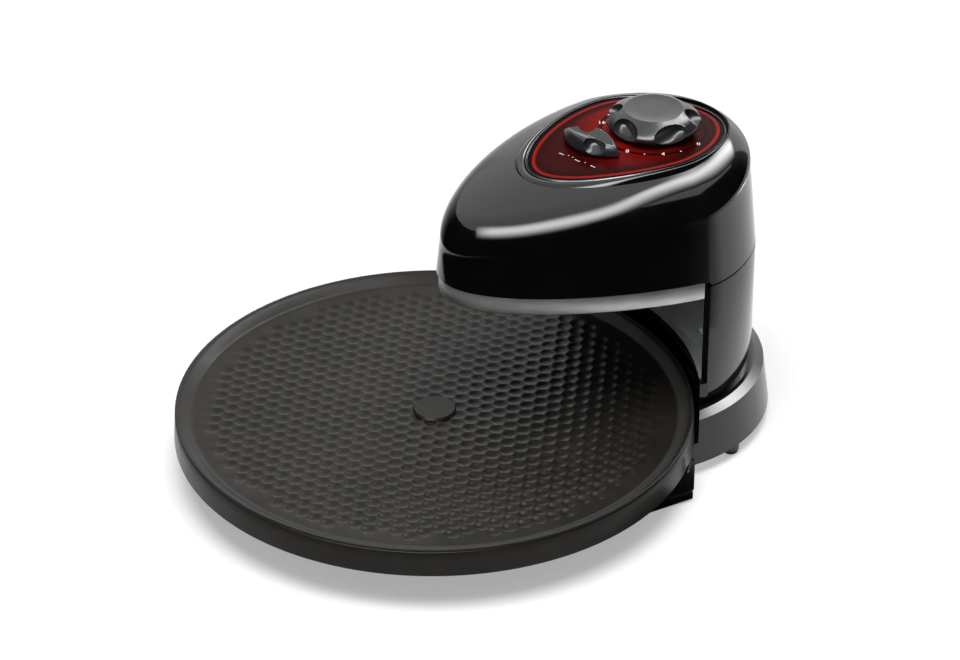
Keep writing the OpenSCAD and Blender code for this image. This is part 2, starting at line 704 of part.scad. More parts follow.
// The raised moulding that carries the control panel on the crown
module panel_frame() {
    outer = egg_ring(pod_front - gap, pod_back - gap);
    flush = crown_ring(1, 0, outer);
    pocket = inset(egg, -ring_w - gap);
    seat = inset(egg, seat_w);
    function on_arch(p, dz) = [for (q = p) [q.x, q.y, panel_top(q.y) + dz]];
    color([0.05, 0.05, 0.055]) at_axis() ring_skin([
        [for (q = flush) [q.x, q.y, q.z - 3.2]], flush, on_arch(pocket, -0.4),
        on_arch(pocket, -panel_t - gap), on_arch(seat, -panel_t - gap), on_arch(seat, -panel_t - gap - 2)]);
}
module head_floor() {
    color([0.06, 0.06, 0.06]) at_axis() difference() {
        slab(seam_z, seam_z + wall) behind(service_y - wall) polygon(inset(plan, wall + 0.6));
        wire_way(seam_z - 1, high);
        at_points(columns) pillar(screw_r + gap, seam_z - 1, high);
    }
}
// The panel's arch from front to back, raised by dr
module arch(dr) {
    translate([0, panel_mid, panel_z - panel_arch_r]) rotate([0, 90, 0])
        cylinder(r = panel_arch_r + dr, h = 200, center = true, $fn = 360);
}
module egg_slab(w, lo, hi) {
    difference() {
        intersection() { slab(seam_z, high) polygon(inset(egg, w)); arch(hi); }
        arch(lo);
    }
}
module skirt_ring(outer, w, y, z0, z1) { slab(z0, z1) front_of(y) plan_ring(outer, outer + w); }
// The bright metal band round the head's lower edge
module heat_shroud() {
    y = jamb_y - 3;
    color([0.66, 0.67, 0.68]) at_axis() {
        skirt_ring(1.5, sheet_t, y, band_z, head_z);
        skirt_ring(1.5, wall + sheet_t - 0.3, y, head_z - sheet_t, head_z);
        skirt_ring(wall + 1.2, sheet_t, y, head_z - tiny, head_z + 4);
    }
}
module upper_reflector() {
    in = wall + sheet_t + 1.5;
    color([0.72, 0.73, 0.72]) at_axis() difference() {
        union() {
            slab(reflector_z, reflector_z + sheet_t) front_of(throat_back - 0.5) polygon(inset(plan, in));
            skirt_ring(in, sheet_t, jamb_y - 3, head_z - reflector_drop, reflector_z + tiny);
            box(4 - throat_half, throat_half - 4, throat_back - 0.5 - sheet_t, throat_back - 0.5,
                seam_z + gap, reflector_z + tiny);
        }
        loop_holes(gap, seam_z, high);
    }
}
module upper_element() {
    color([0.2, 0.19, 0.18]) at_axis() {
        heating_loop(top_rod_z, 1);
        loop_tails(top_rod_z + drop_r, reflector_z + 2 * drop_r);
    }
}
module upper_element_clips() {
    color([0.6, 0.61, 0.62]) at_axis() element_clips(top_rod_z, reflector_z);
}
module element_guard() {
    z = band_z + 2.6;
    r = 1.2;
    edge = inset(plan, 2.9);
    front = nose_y + guard_front;
    back = jamb_y - guard_back;
    function span(y) = lookup(y, [for (i = [0 : len(plan_half) - 2]) [edge[i].y, edge[i].x]]);
    color([0.6, 0.61, 0.62]) at_axis() {
        for (k = [0 : guard_rows - 1]) let (y = front + k * (back - front) / (guard_rows - 1))
            rod_x(-span(y), span(y), y, z, r, $fn = 16);
        for (x = [-guard_pitch, 0, guard_pitch]) rod_y(x, front - 2.5 * r, back + guard_over, z, r, $fn = 16);
    }
}
module insulation_pad() {
    z0 = reflector_z + sheet_t + gap;
    color([0.85, 0.83, 0.76]) at_axis() difference() {
        slab(z0, z0 + pad_h) front_of(pad_y) polygon(inset(plan, pad_in));
        translate([0, timer_y, 0]) pillar(timer_can_r + gap, bracket_z - timer_can_h - gap, high);
        loop_holes(0.6, seam_z, high);
    }
}
module thermal_fuse() {
    z = reflector_z + sheet_t + 2.5;
    color([0.8, 0.8, 0.78]) at_axis() {
        rod_x(-11, 11, pad_y + 6, z, 2.5, $fn = 24);
        for (s = [-1, 1]) rod_x(s * 14.5 - 3.6, s * 14.5 + 3.6, pad_y + 6, z, 0.6, $fn = 16);
    }
}

// ---- controls ----
module panel_insert() {
    color([0.25, 0.03, 0.03]) at_axis() difference() {
        union() {
            egg_slab(gap, -panel_t, 0);
            intersection() {
                at_points(bracket_posts) pillar(3.5, bracket_z + bracket_t, high);
                arch(-1);
            }
        }
        at_points(bracket_posts) pillar(small_r, seam_z, bracket_z + small_len + 0.2);
        translate([0, timer_y, 0]) pillar(shaft_r + gap, seam_z, high);
        translate([0, selector_y, 0]) pillar(shaft_r + gap, seam_z, high);
    }
}
module panel_bezel() {
    color([0.8, 0.8, 0.81]) at_axis() difference() {
        egg_slab(-ring_w, -panel_t, 0.6);
        slab(seam_z, high) polygon(egg);
    }
}
module control_bracket() {
    side = panel_half - 6;
    color([0.68, 0.69, 0.7]) at_axis() difference() {
        slab(bracket_z, bracket_z + bracket_t) polygon([[-24, panel_front + 10.5], [24, panel_front + 10.5],
            [side, panel_mid - 18], [side, timer_y], [24, panel_back - 11], [-24, panel_back - 11],
            [-side, timer_y], [-side, panel_mid - 18]]);
        at_points(bracket_posts) pillar(small_r + 0.1, seam_z, high);
        for (y = [timer_y, selector_y]) translate([0, y, 0]) pillar(neck_r + 0.4, seam_z, high);
    }
}
module timer_body() {
    color([0.7, 0.7, 0.68]) at_axis() translate([0, timer_y, 0]) difference() {
        union() {
            pillar(timer_can_r, bracket_z - timer_can_h, bracket_z);
            pillar(neck_r, bracket_z - 1, bracket_z + 5);
            box(-8, 8, timer_can_r - 2, timer_can_r + 6, bracket_z - 26, bracket_z - 18);
        }
        pillar(shaft_r + run_fit, bracket_z - shaft_deep, high);
    }
}
module timer_bell() {
    low = -bell_h / 3;
    color([0.78, 0.72, 0.5]) at_axis()
        translate([panel_half - 6 - shaft_r * 0.75, timer_y - shaft_r * 2, bracket_z - bell_drop]) {
            rotate_extrude() polygon([[shaft_r / 2, 0], [bell_r * 0.7, 0], [bell_r, low], [bell_r, -bell_h],
                [bell_r - bell_t, -bell_h], [bell_r - bell_t, low - bell_t / 2], [bell_r * 0.7 - 0.4, -bell_t],
                [shaft_r / 2, -bell_t]]);
            pillar(shaft_r * 0.75, -2 * bell_t, bell_drop);
        }
}
module timer_shaft() {
    color([0.75, 0.75, 0.76]) at_axis() translate([0, timer_y, 0])
        pillar(shaft_r, bracket_z - 9.5, timer_z + timer_knob_h - 4);
}
module timer_knob() {
    r = timer_knob_r;
    h = timer_knob_h;
    bore = shaft_r + 0.02;
    color([0.3, 0.31, 0.32]) at_axis() translate([0, timer_y, timer_z]) difference() {
        rotate_extrude() polygon([[bore, 0], [r - 0.8, 0], [r, 0.8], [r, 2.4], [r - 2, 4],
            [timer_top_r + 1.2, h - 0.8], [timer_top_r, h], [0, h], [0, h - 3.9], [bore, h - 3.9]]);
        for (i = [0 : scoops - 1]) rotate([0, 0, i * 360 / scoops - 62])
            translate([r + 3, 0, h * 0.72]) sphere(r = 10, $fn = 36);
    }
}
module selector_switch() {
    color([0.1, 0.1, 0.1]) at_axis() translate([0, selector_y, 0]) difference() {
        union() {
            box(-14, 14, -12, 11, bracket_z - 20, bracket_z);
            pillar(neck_r, bracket_z - 1, bracket_z + 4);
            for (x = [-9 : 6 : 9]) box(x - 0.4, x + 0.4, -9, -3, bracket_z - 26, bracket_z - 19);
        }
        pillar(shaft_r + run_fit, bracket_z - 9, high);
    }
}
module selector_shaft() {
    color([0.75, 0.75, 0.76]) at_axis() translate([0, selector_y, 0])
        pillar(shaft_r, bracket_z - 8.5, selector_z + selector_h - 3);
}
module selector_knob() {
    h = selector_h;
    arc = (selector_len * selector_len + selector_w * selector_w) / (4 * selector_w);
    color([0.3, 0.31, 0.32]) at_axis() translate([0, selector_y, selector_z])
        rotate([0, 0, selector_rest]) difference() {
            slab(0, h) intersection() {
                translate([0, arc - selector_w / 2]) circle(r = arc);
                translate([0, selector_w / 2 - arc]) circle(r = arc);
                circle(r = selector_len / 2 - 1);
            }
            pillar(shaft_r + 0.02, -1, h - 2.9);
            for (s = [-1, 1]) translate([s * 10.5, -s * 12, h]) sphere(r = 9, $fn = 36);
        }
}

// ---- fasteners ----
module housing_screws() {
    color([0.7, 0.7, 0.7]) at_axis() {
        at_points(plate_screws) translate([0, 0, foot_h]) housing_screw();
        at_points(columns) translate([0, 0, tower_foot_z - wall]) housing_screw();
        at_points(columns) translate([0, 0, seam_z + wall]) mirror([0, 0, 1]) housing_screw();
    }
}
module small_screws() {
    color([0.7, 0.7, 0.7]) at_axis() {
        for (s = [-1, 1]) translate([s * motor_ear, 0, motor_top - 1]) small_screw();
        for (s = [-1, 1]) translate([s * block_screw, block_y, foot_h]) small_screw();
        at_points(bracket_posts) translate([0, 0, bracket_z]) small_screw();
        for (p = liner_screws) translate([p.x, throat_back, p.y]) rotate([-90, 0, 0]) small_screw();
    }
}

base_shell();
base_bottom();
rubber_feet();
lower_reflector();
lower_element();
lower_element_clips();
drive_motor();
motor_shaft();
drive_spindle();
spindle_bushing();
tray_pan();
hub_cap();
drive_socket();
tower_shell();
throat_liner();
wire_harness();
cord_gland();
terminal_block();
head_shell();
head_floor();
panel_frame();
heat_shroud();
upper_reflector();
upper_element();
upper_element_clips();
element_guard();
insulation_pad();
thermal_fuse();
panel_insert();
panel_bezel();
control_bracket();
timer_body();
timer_bell();
timer_shaft();
timer_knob();
selector_switch();
selector_shaft();
selector_knob();
housing_screws();
small_screws();
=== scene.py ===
import json
import math

import bmesh
import bpy
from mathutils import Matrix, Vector


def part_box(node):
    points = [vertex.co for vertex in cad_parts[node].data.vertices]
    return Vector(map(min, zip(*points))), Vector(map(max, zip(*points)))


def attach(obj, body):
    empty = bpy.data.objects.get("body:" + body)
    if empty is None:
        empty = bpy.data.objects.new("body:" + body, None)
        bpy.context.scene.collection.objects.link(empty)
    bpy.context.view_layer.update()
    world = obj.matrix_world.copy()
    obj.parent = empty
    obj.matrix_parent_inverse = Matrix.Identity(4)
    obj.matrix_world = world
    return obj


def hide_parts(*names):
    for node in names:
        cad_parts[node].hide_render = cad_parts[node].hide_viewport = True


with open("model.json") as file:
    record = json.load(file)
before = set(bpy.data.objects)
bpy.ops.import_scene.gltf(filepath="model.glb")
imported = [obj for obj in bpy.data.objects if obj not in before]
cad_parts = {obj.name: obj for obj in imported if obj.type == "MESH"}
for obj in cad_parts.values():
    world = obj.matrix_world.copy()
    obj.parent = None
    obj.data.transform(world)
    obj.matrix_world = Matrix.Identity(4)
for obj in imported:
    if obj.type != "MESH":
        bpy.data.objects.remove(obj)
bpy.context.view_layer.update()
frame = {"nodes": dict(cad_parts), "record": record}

mm = 0.001
hubLow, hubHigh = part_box("hub_cap")
axisY = (hubLow[1] + hubHigh[1]) / 2 / mm  # tray axis, mm
bpy.ops.object.select_all(action="DESELECT")


def newMaterial(name):
    material = bpy.data.materials.new(name)
    material.use_nodes = True
    tree = material.node_tree
    return material, tree.nodes, tree.links, tree.nodes["Principled BSDF"]


def newPiece(name):
    piece = bpy.context.object
    piece.name = name
    piece.data.name = name
    return piece


# node helpers
def feed(tree, socket, value):  # a number, a colour or another node's output
    if isinstance(value, (int, float)):
        socket.default_value = value
    elif isinstance(value, tuple):
        socket.default_value = (*value, 1)
    else:
        tree.links.new(value, socket)


def mathNode(tree, operation, *values):
    node = tree.nodes.new("ShaderNodeMath")
    node.operation = operation
    for socket, value in zip(node.inputs, values):
        feed(tree, socket, value)
    return node.outputs[0]


def vectorNode(tree, operation, first, second=None):
    node = tree.nodes.new("ShaderNodeVectorMath")
    node.operation = operation
    tree.links.new(first, node.inputs[0])
    if isinstance(second, tuple):
        node.inputs[1].default_value = second
    elif second is not None:
        tree.links.new(second, node.inputs[1])
    return node.outputs["Value" if operation in ("LENGTH", "DOT_PRODUCT") else "Vector"]


def rangeNode(tree, value, low, high, toLow, toHigh, smooth=False):
    node = tree.nodes.new("ShaderNodeMapRange")
    node.interpolation_type = "SMOOTHSTEP" if smooth else "LINEAR"
    settings = {"Value": value, "From Min": low, "From Max": high, "To Min": toLow, "To Max": toHigh}
    for key, item in settings.items():
        feed(tree, node.inputs[key], item)
    return node.outputs["Result"]


def noiseNode(tree, vector, scale, detail, roughness):
    node = tree.nodes.new("ShaderNodeTexNoise")
    for key, item in {"Vector": vector, "Scale": scale, "Detail": detail, "Roughness": roughness}.items():
        feed(tree, node.inputs[key], item)
    return node.outputs["Fac"]


def colorMix(tree, share, first, second):
    node = tree.nodes.new("ShaderNodeMix")
    node.data_type = "RGBA"
    for i, value in ((0, share), (6, first), (7, second)):  # factor, A and B of its colour mode
        feed(tree, node.inputs[i], value)
    return node.outputs[2]


# camera, light and room
studio = {
    "cameraAt": (1.7938, -1.0372, 1.3572),
    "cameraAim": (-0.0613, 0.0339, 0.0435),
    "lens": 143.7,
    "ambient": 0.3,
    "mirror": 1.35,
    "floorSize": 8,
    "floorColor": 0.93,
    "floorRoughness": 0.7,
    "floorGlow": 0.36,
}


def addCamera():
    bpy.ops.object.camera_add(location=studio["cameraAt"])
    camera = bpy.context.object
    look = Vector(studio["cameraAim"]) - Vector(studio["cameraAt"])
    camera.rotation_euler = look.to_track_quat("-Z", "Y").to_euler()
    camera.data.lens = studio["lens"]
    camera.data.sensor_width = 36
    camera.data.clip_end = 50
    bpy.context.scene.camera = camera


softKey = {"place": (0.55, -0.4, 3.4), "size": 2.4, "brightness": 8}


def addSoftKey():  # lights the object and casts its shadow; what the gloss shows is the cards below
    bpy.ops.object.light_add(type="AREA", location=softKey["place"])
    lamp = bpy.context.object
    lamp.name = "softKey"
    lamp.data.shape = "SQUARE"
    lamp.data.size = softKey["size"]
    lamp.data.energy = softKey["brightness"] * math.pi * softKey["size"] ** 2
    lamp.visible_glossy = False


def addRoom():  # a world and a floor that look brighter than the light they give
    world = bpy.data.worlds.new("paleRoom")
    bpy.context.scene.world = world
    world.use_nodes = True
    tree = world.node_tree
    path = tree.nodes.new("ShaderNodeLightPath")
    level = studio["ambient"]
    for ray, strength in (("Is Camera Ray", 1), ("Is Glossy Ray", studio["mirror"])):
        level = mathNode(tree, "MULTIPLY_ADD", path.outputs[ray], strength - studio["ambient"], level)
    back = tree.nodes["Background"]
    back.inputs["Color"].default_value = (1, 1, 1, 1)
    tree.links.new(level, back.inputs["Strength"])

    bpy.ops.mesh.primitive_plane_add(size=studio["floorSize"], location=(0, 0, 0))
    floor = newPiece("paleFloor")
    material, nodes, links, shader = newMaterial("paleFloor")
    tree = material.node_tree
    shader.inputs["Base Color"].default_value = (*[studio["floorColor"]] * 3, 1)
    shader.inputs["Roughness"].default_value = studio["floorRoughness"]
    shader.inputs["Specular IOR Level"].default_value = 0
    path = nodes.new("ShaderNodeLightPath")
    seen = mathNode(tree, "MAXIMUM", path.outputs["Is Camera Ray"], path.outputs["Is Glossy Ray"])
    mix = nodes.new("ShaderNodeMixShader")
    links.new(mathNode(tree, "MULTIPLY", seen, studio["floorGlow"]), mix.inputs[0])
    links.new(shader.outputs[0], mix.inputs[1])
    links.new(nodes.new("ShaderNodeEmission").outputs[0], mix.inputs[2])
    links.new(mix.outputs[0], nodes["Material Output"].inputs["Surface"])
    floor.data.materials.append(material)


def addCard(name, grid, shades, clear=False):  # a glowing card of the studio that only reflections see
    bpy.ops.mesh.primitive_grid_add(x_subdivisions=len(grid[0]) - 1, y_subdivisions=len(grid) - 1, size=1)
    card = newPiece(name)
    for vertex, place in zip(card.data.vertices, [place for row in grid for place in row]):
        vertex.co = place
    shade = card.data.attributes.new("shade", "FLOAT", "POINT")
    for i, value in enumerate([value for row in shades for value in row]):
        shade.data[i].value = value
    material, nodes, links, shader = newMaterial(name)
    level = nodes.new("ShaderNodeAttribute")
    level.attribute_name = "shade"
    shader.inputs["Base Color"].default_value = (0, 0, 0, 1)
    shader.inputs["Specular IOR Level"].default_value = 0
    shader.inputs["Emission Color"].default_value = (1, 1, 1, 1)
    links.new(level.outputs["Fac"], shader.inputs["Emission Strength"])
    if clear:  # what lies behind the card still shows
        both = nodes.new("ShaderNodeAddShader")
        links.new(shader.outputs[0], both.inputs[0])
        links.new(nodes.new("ShaderNodeBsdfTransparent").outputs[0], both.inputs[1])
        links.new(both.outputs[0], nodes["Material Output"].inputs["Surface"])
    card.data.materials.append(material)
    card.visible_camera = False
    card.visible_diffuse = False
    card.visible_shadow = False


def around(turn, reach, z):  # a place that many degrees about Z from the front, towards the right
    a = math.radians(turn)
    return Vector((reach * math.sin(a), -reach * math.cos(a), z))


def spread(first, last, steps):
    return [first + (last - first) * i / steps for i in range(steps + 1)]


darkHalf = {
    # where the unlit side begins and ends, and where it starts to fade into the room, in degrees
    "from": -104, "leftFade": -60, "fade": 106, "to": 150, "level": 1.2, "fadeCurve": 1.5, "steps": 60,
    "near": 0.32, "far": 2.6, "lift": 0.002, "height": 1.9,
    "leftFrom": -45, "leftOver": 30, "leftHeight": 1.42,
    "later": 76,  # degrees by which all above the floor fades later
    "rise": {"turns": (106, 198), "low": 0.24, "reach": 2.5, "steps": 30},
    "wing": {"turns": (80, 125), "reach": (0.12, 0.19), "steps": 12},
    "ceiling": {"turn": 30, "rows": (0.97, 1.4, 2, 3, 5), "half": 4, "above": 0.01},
}


def addDarkHalf():  # the unlit half of the studio
    first, last = darkHalf["from"], darkHalf["to"]
    high, low = darkHalf["height"], darkHalf["lift"]

    def glow(turn, later=0):
        right = (turn - darkHalf["fade"] - later) / (last - darkHalf["fade"])
        left = (darkHalf["leftFade"] - turn) / (darkHalf["leftFade"] - first)
        return darkHalf["level"] * min(1, max(0, left, right)) ** darkHalf["fadeCurve"]

    def wallTop(turn):  # lower towards the left
        f = min(1, max(0, (darkHalf["leftFrom"] - turn) / darkHalf["leftOver"]))
        return high - (high - darkHalf["leftHeight"]) * f

    turns = spread(first, last, darkHalf["steps"])
    wall = [[around(turn, darkHalf["near"], low) for turn in turns],
            [around(turn, darkHalf["far"], low) for turn in turns],
            [around(turn, darkHalf["far"], wallTop(turn)) for turn in turns]]
    addCard("darkWall", wall, [[glow(turn) for turn in turns]] * 3)

    rise = darkHalf["rise"]
    turns = spread(*rise["turns"], rise["steps"])
    grid = [[around(turn, rise["reach"], z) for turn in turns] for z in (rise["low"], high)]
    addCard("darkRise", grid, [[glow(turn, darkHalf["later"]) for turn in turns]] * 2)

    wing = darkHalf["wing"]
    turns = spread(*wing["turns"], wing["steps"])
    grid = [[around(turn, reach, low) for turn in turns] for reach in wing["reach"]]
    addCard("wingShade", grid, [[0] * len(turns)] * 2)

    ceiling = darkHalf["ceiling"]
    out, along = around(ceiling["turn"] + 90, 1, 0), around(ceiling["turn"] + 180, 1, 0)
    up = Vector((0, 0, high + ceiling["above"]))
    strip = spread(-ceiling["half"], ceiling["half"], darkHalf["steps"])
    grid = [[out * row + along * reach + up for reach in strip] for row in ceiling["rows"]]
    shades = []
    for row in grid:
        turns = [math.degrees(math.atan2(spot.x, -spot.y)) for spot in row]
        # turns past straight behind count on from the right
        shades.append([glow(turn + 360 if turn < -last else turn, darkHalf["later"]) for turn in turns])
    addCard("darkCeiling", grid, shades)


lightArc = {
    # upper edge, brightest line and lower edge from nose to back, each as degrees about Z and above level
    "stations": [
        ((-21, 47), (1, 31), (10, 15)),
        ((22, 57), (35, 40), (42, 18)),
        ((49, 71), (58, 51), (61, 27)),
        ((122, 83), (85, 66), (78, 45)),
        ((-139, 61), (-166, 72), (132, 68)),
        ((-141, 52), (-151, 57), (174, 62)),
        ((-146, 40), (-155, 45), (-178, 46)),
        ((-150, 24), (-155, 27), (-166, 29)),
    ],
    "middle": (0.04, 0.05, 0.18), "reach": 2, "steps": 8, "across": 24,
    "level": 14.5, "edge": 1.3,
    "ends": 5, "backEnd": 3,  # rows over which it fades at the nose and at the back
}


def addLightArc():  # one long soft card bent round overhead, which draws the bright line along the shoulder
    middle, steps, across = Vector(lightArc["middle"]), lightArc["steps"], lightArc["across"]

    def toward(turn, height):
        b = math.radians(height)
        return around(turn, math.cos(b), math.sin(b))

    def smooth(a, b, c, d, t):  # a curve from b to c that leaves and arrives in line with a and d
        return 0.5 * (2 * b + (c - a) * t + (2 * a - 5 * b + 4 * c - d) * t**2
                      + (3 * b - a - 3 * c + d) * t**3)

    stations = [[toward(*spot) for spot in station] for station in lightArc["stations"]]
    last = len(stations) - 1
    rows = []
    for i in range(last):
        four = [stations[max(0, min(last, i + k))] for k in (-1, 0, 1, 2)]
        for j in range(steps + (i == last - 1)):
            rows.append([smooth(*(station[k] for station in four), j / steps) for k in range(3)])
    grid, shades = [], []
    for r, (upper, best, lower) in enumerate(rows):
        ends = min(1, (r + 1) / lightArc["ends"], (len(rows) - r) / lightArc["backEnd"])
        places, levels = [], []
        for t in spread(-1, 1, across):
            spot = best + 0.5 * t * (lower - upper) + t * t * (0.5 * (upper + lower) - best)
            places.append(middle + lightArc["reach"] * spot.normalized())
            f = 1 - abs(t)
            soft = f * f * (3 - 2 * f)
            levels.append(lightArc["level"] * soft * ends + (lightArc["edge"] * (1 - f) if t < 0 else 0))
        grid.append(places)
        shades.append(levels)
    addCard("lightArc", grid, shades)


bevelCard = {
    # its middle line behind the tower and how bright it is there
    "line": [((0.07, 0.193, 0.165), 0.6), ((0.066, 0.214, 0.157), 1),
             ((0.053, 0.24, 0.144), 0.9), ((0.029, 0.265, 0.128), 0.1)],
    "half": 0.026, "level": 14, "lights": (0.088, 0.13, 0.04), "steps": 6, "across": 12,
}


def addBevelCard():  # a small card whose reflection runs along the bevel of the base
    line, steps = bevelCard["line"], bevelCard["steps"]
    across = spread(-1, 1, bevelCard["across"])
    grid, shades = [], []
    for i in range(len(line) - 1):
        (a, levelA), (b, levelB) = line[i], line[i + 1]
        a, b = Vector(a), Vector(b)
        for j in range(steps + (i == len(line) - 2)):
            t = j / steps
            middle = a.lerp(b, t)
            side = (b - a).cross(middle - Vector(bevelCard["lights"])).normalized() * bevelCard["half"]
            level = bevelCard["level"] * (levelA + (levelB - levelA) * t)
            grid.append([middle + side * f for f in across])
            shades.append([level * (1 - f * f) ** 2 for f in across])
    addCard("bevelCard", grid, shades, clear=True)


bpy.context.scene.view_settings.view_transform = "Standard"
addCamera()
addSoftKey()
addRoom()
addDarkHalf()
addLightArc()
addBevelCard()
print("room ready")


# effects that several finishes share
def newGroup(name, inputs, outputs):
    group = bpy.data.node_groups.new(name, "ShaderNodeTree")
    for label, value in inputs.items():
        kind = "NodeSocketVector" if value is None else "NodeSocketFloat"
        socket = group.interface.new_socket(name=label, in_out="INPUT", socket_type=kind)
        if value is not None:
            socket.default_value = value
    for label in outputs:
        group.interface.new_socket(name=label, in_out="OUTPUT", socket_type="NodeSocketFloat")
    return group, group.nodes.new("NodeGroupInput").outputs, group.nodes.new("NodeGroupOutput").inputs


def makePatches():  # broad, soft unevenness between two levels
    settings = {"Vector": None, "Scale": 60.0, "Low": 0.0, "High": 1.0}
    group, given, result = newGroup("patches", settings, ["Value"])
    cloud = noiseNode(group, given["Vector"], given["Scale"], 5, 0.6)
    group.links.new(rangeNode(group, cloud, 0.35, 0.68, given["Low"], given["High"]), result["Value"])
    return group


def makeGrain():  # fine moulded or cast grain for a bump
    group, given, result = newGroup("grain", {"Vector": None, "Scale": 2000.0, "Amount": 1.0}, ["Height"])
    fine = noiseNode(group, given["Vector"], given["Scale"], 2, 0.5)
    group.links.new(mathNode(group, "MULTIPLY", fine, given["Amount"]), result["Height"])
    return group


def makeBrushing():  # long fine lines across one direction
    settings = {"Vector": None, "Along": 40.0, "Across": 3000.0, "Upright": 3000.0}
    group, given, result = newGroup("brushing", settings, ["Value"])
    stretch = group.nodes.new("ShaderNodeCombineXYZ")
    for key, socket in (("Along", "X"), ("Across", "Y"), ("Upright", "Z")):
        group.links.new(given[key], stretch.inputs[socket])
    scaled = vectorNode(group, "MULTIPLY", given["Vector"], stretch.outputs[0])
    lines = noiseNode(group, scaled, 1.0, 3, 0.65)
    group.links.new(rangeNode(group, lines, 0.3, 0.7, 0.0, 1.0), result["Value"])
    return group


def makeSpecks():  # scattered small flecks, as a mask
    group, given, result = newGroup("specks", {"Vector": None, "Scale": 900.0, "Size": 0.16}, ["Mask"])
    cells = group.nodes.new("ShaderNodeTexVoronoi")
    group.links.new(given["Vector"], cells.inputs["Vector"])
    group.links.new(given["Scale"], cells.inputs["Scale"])
    split = group.nodes.new("ShaderNodeSeparateColor")
    group.links.new(cells.outputs["Color"], split.inputs[0])
    small = mathNode(group, "LESS_THAN", cells.outputs["Distance"], given["Size"])
    few = mathNode(group, "GREATER_THAN", split.outputs[0], 0.6)
    group.links.new(mathNode(group, "MULTIPLY", small, few), result["Mask"])
    return group


def makeWipes():  # faint wiped smears left by a cloth on a polished shell
    group, given, result = newGroup("wipes", {"Vector": None, "Scale": 14.0, "Amount": 1.0}, ["Mask"])
    stretched = vectorNode(group, "MULTIPLY", given["Vector"], (1.0, 0.28, 2.2))
    streaks = noiseNode(group, stretched, mathNode(group, "MULTIPLY", given["Scale"], 5.0), 6, 0.7)
    places = noiseNode(group, given["Vector"], given["Scale"], 2, 0.5)
    streaks = rangeNode(group, streaks, 0.5, 0.72, 0.0, 1.0)
    places = rangeNode(group, places, 0.5, 0.66, 0.0, 1.0)
    both = mathNode(group, "MULTIPLY", streaks, places)
    group.links.new(mathNode(group, "MULTIPLY", both, given["Amount"]), result["Mask"])
    return group


effects = {
    "patches": makePatches(), "grain": makeGrain(), "brushing": makeBrushing(),
    "specks": makeSpecks(), "wipes": makeWipes(),
}


def effect(tree, name, vector, **settings):
    node = tree.nodes.new("ShaderNodeGroup")
    node.node_tree = effects[name]
    tree.links.new(vector, node.inputs["Vector"])
    for key, value in settings.items():
        node.inputs[key].default_value = value
    return node.outputs[0]


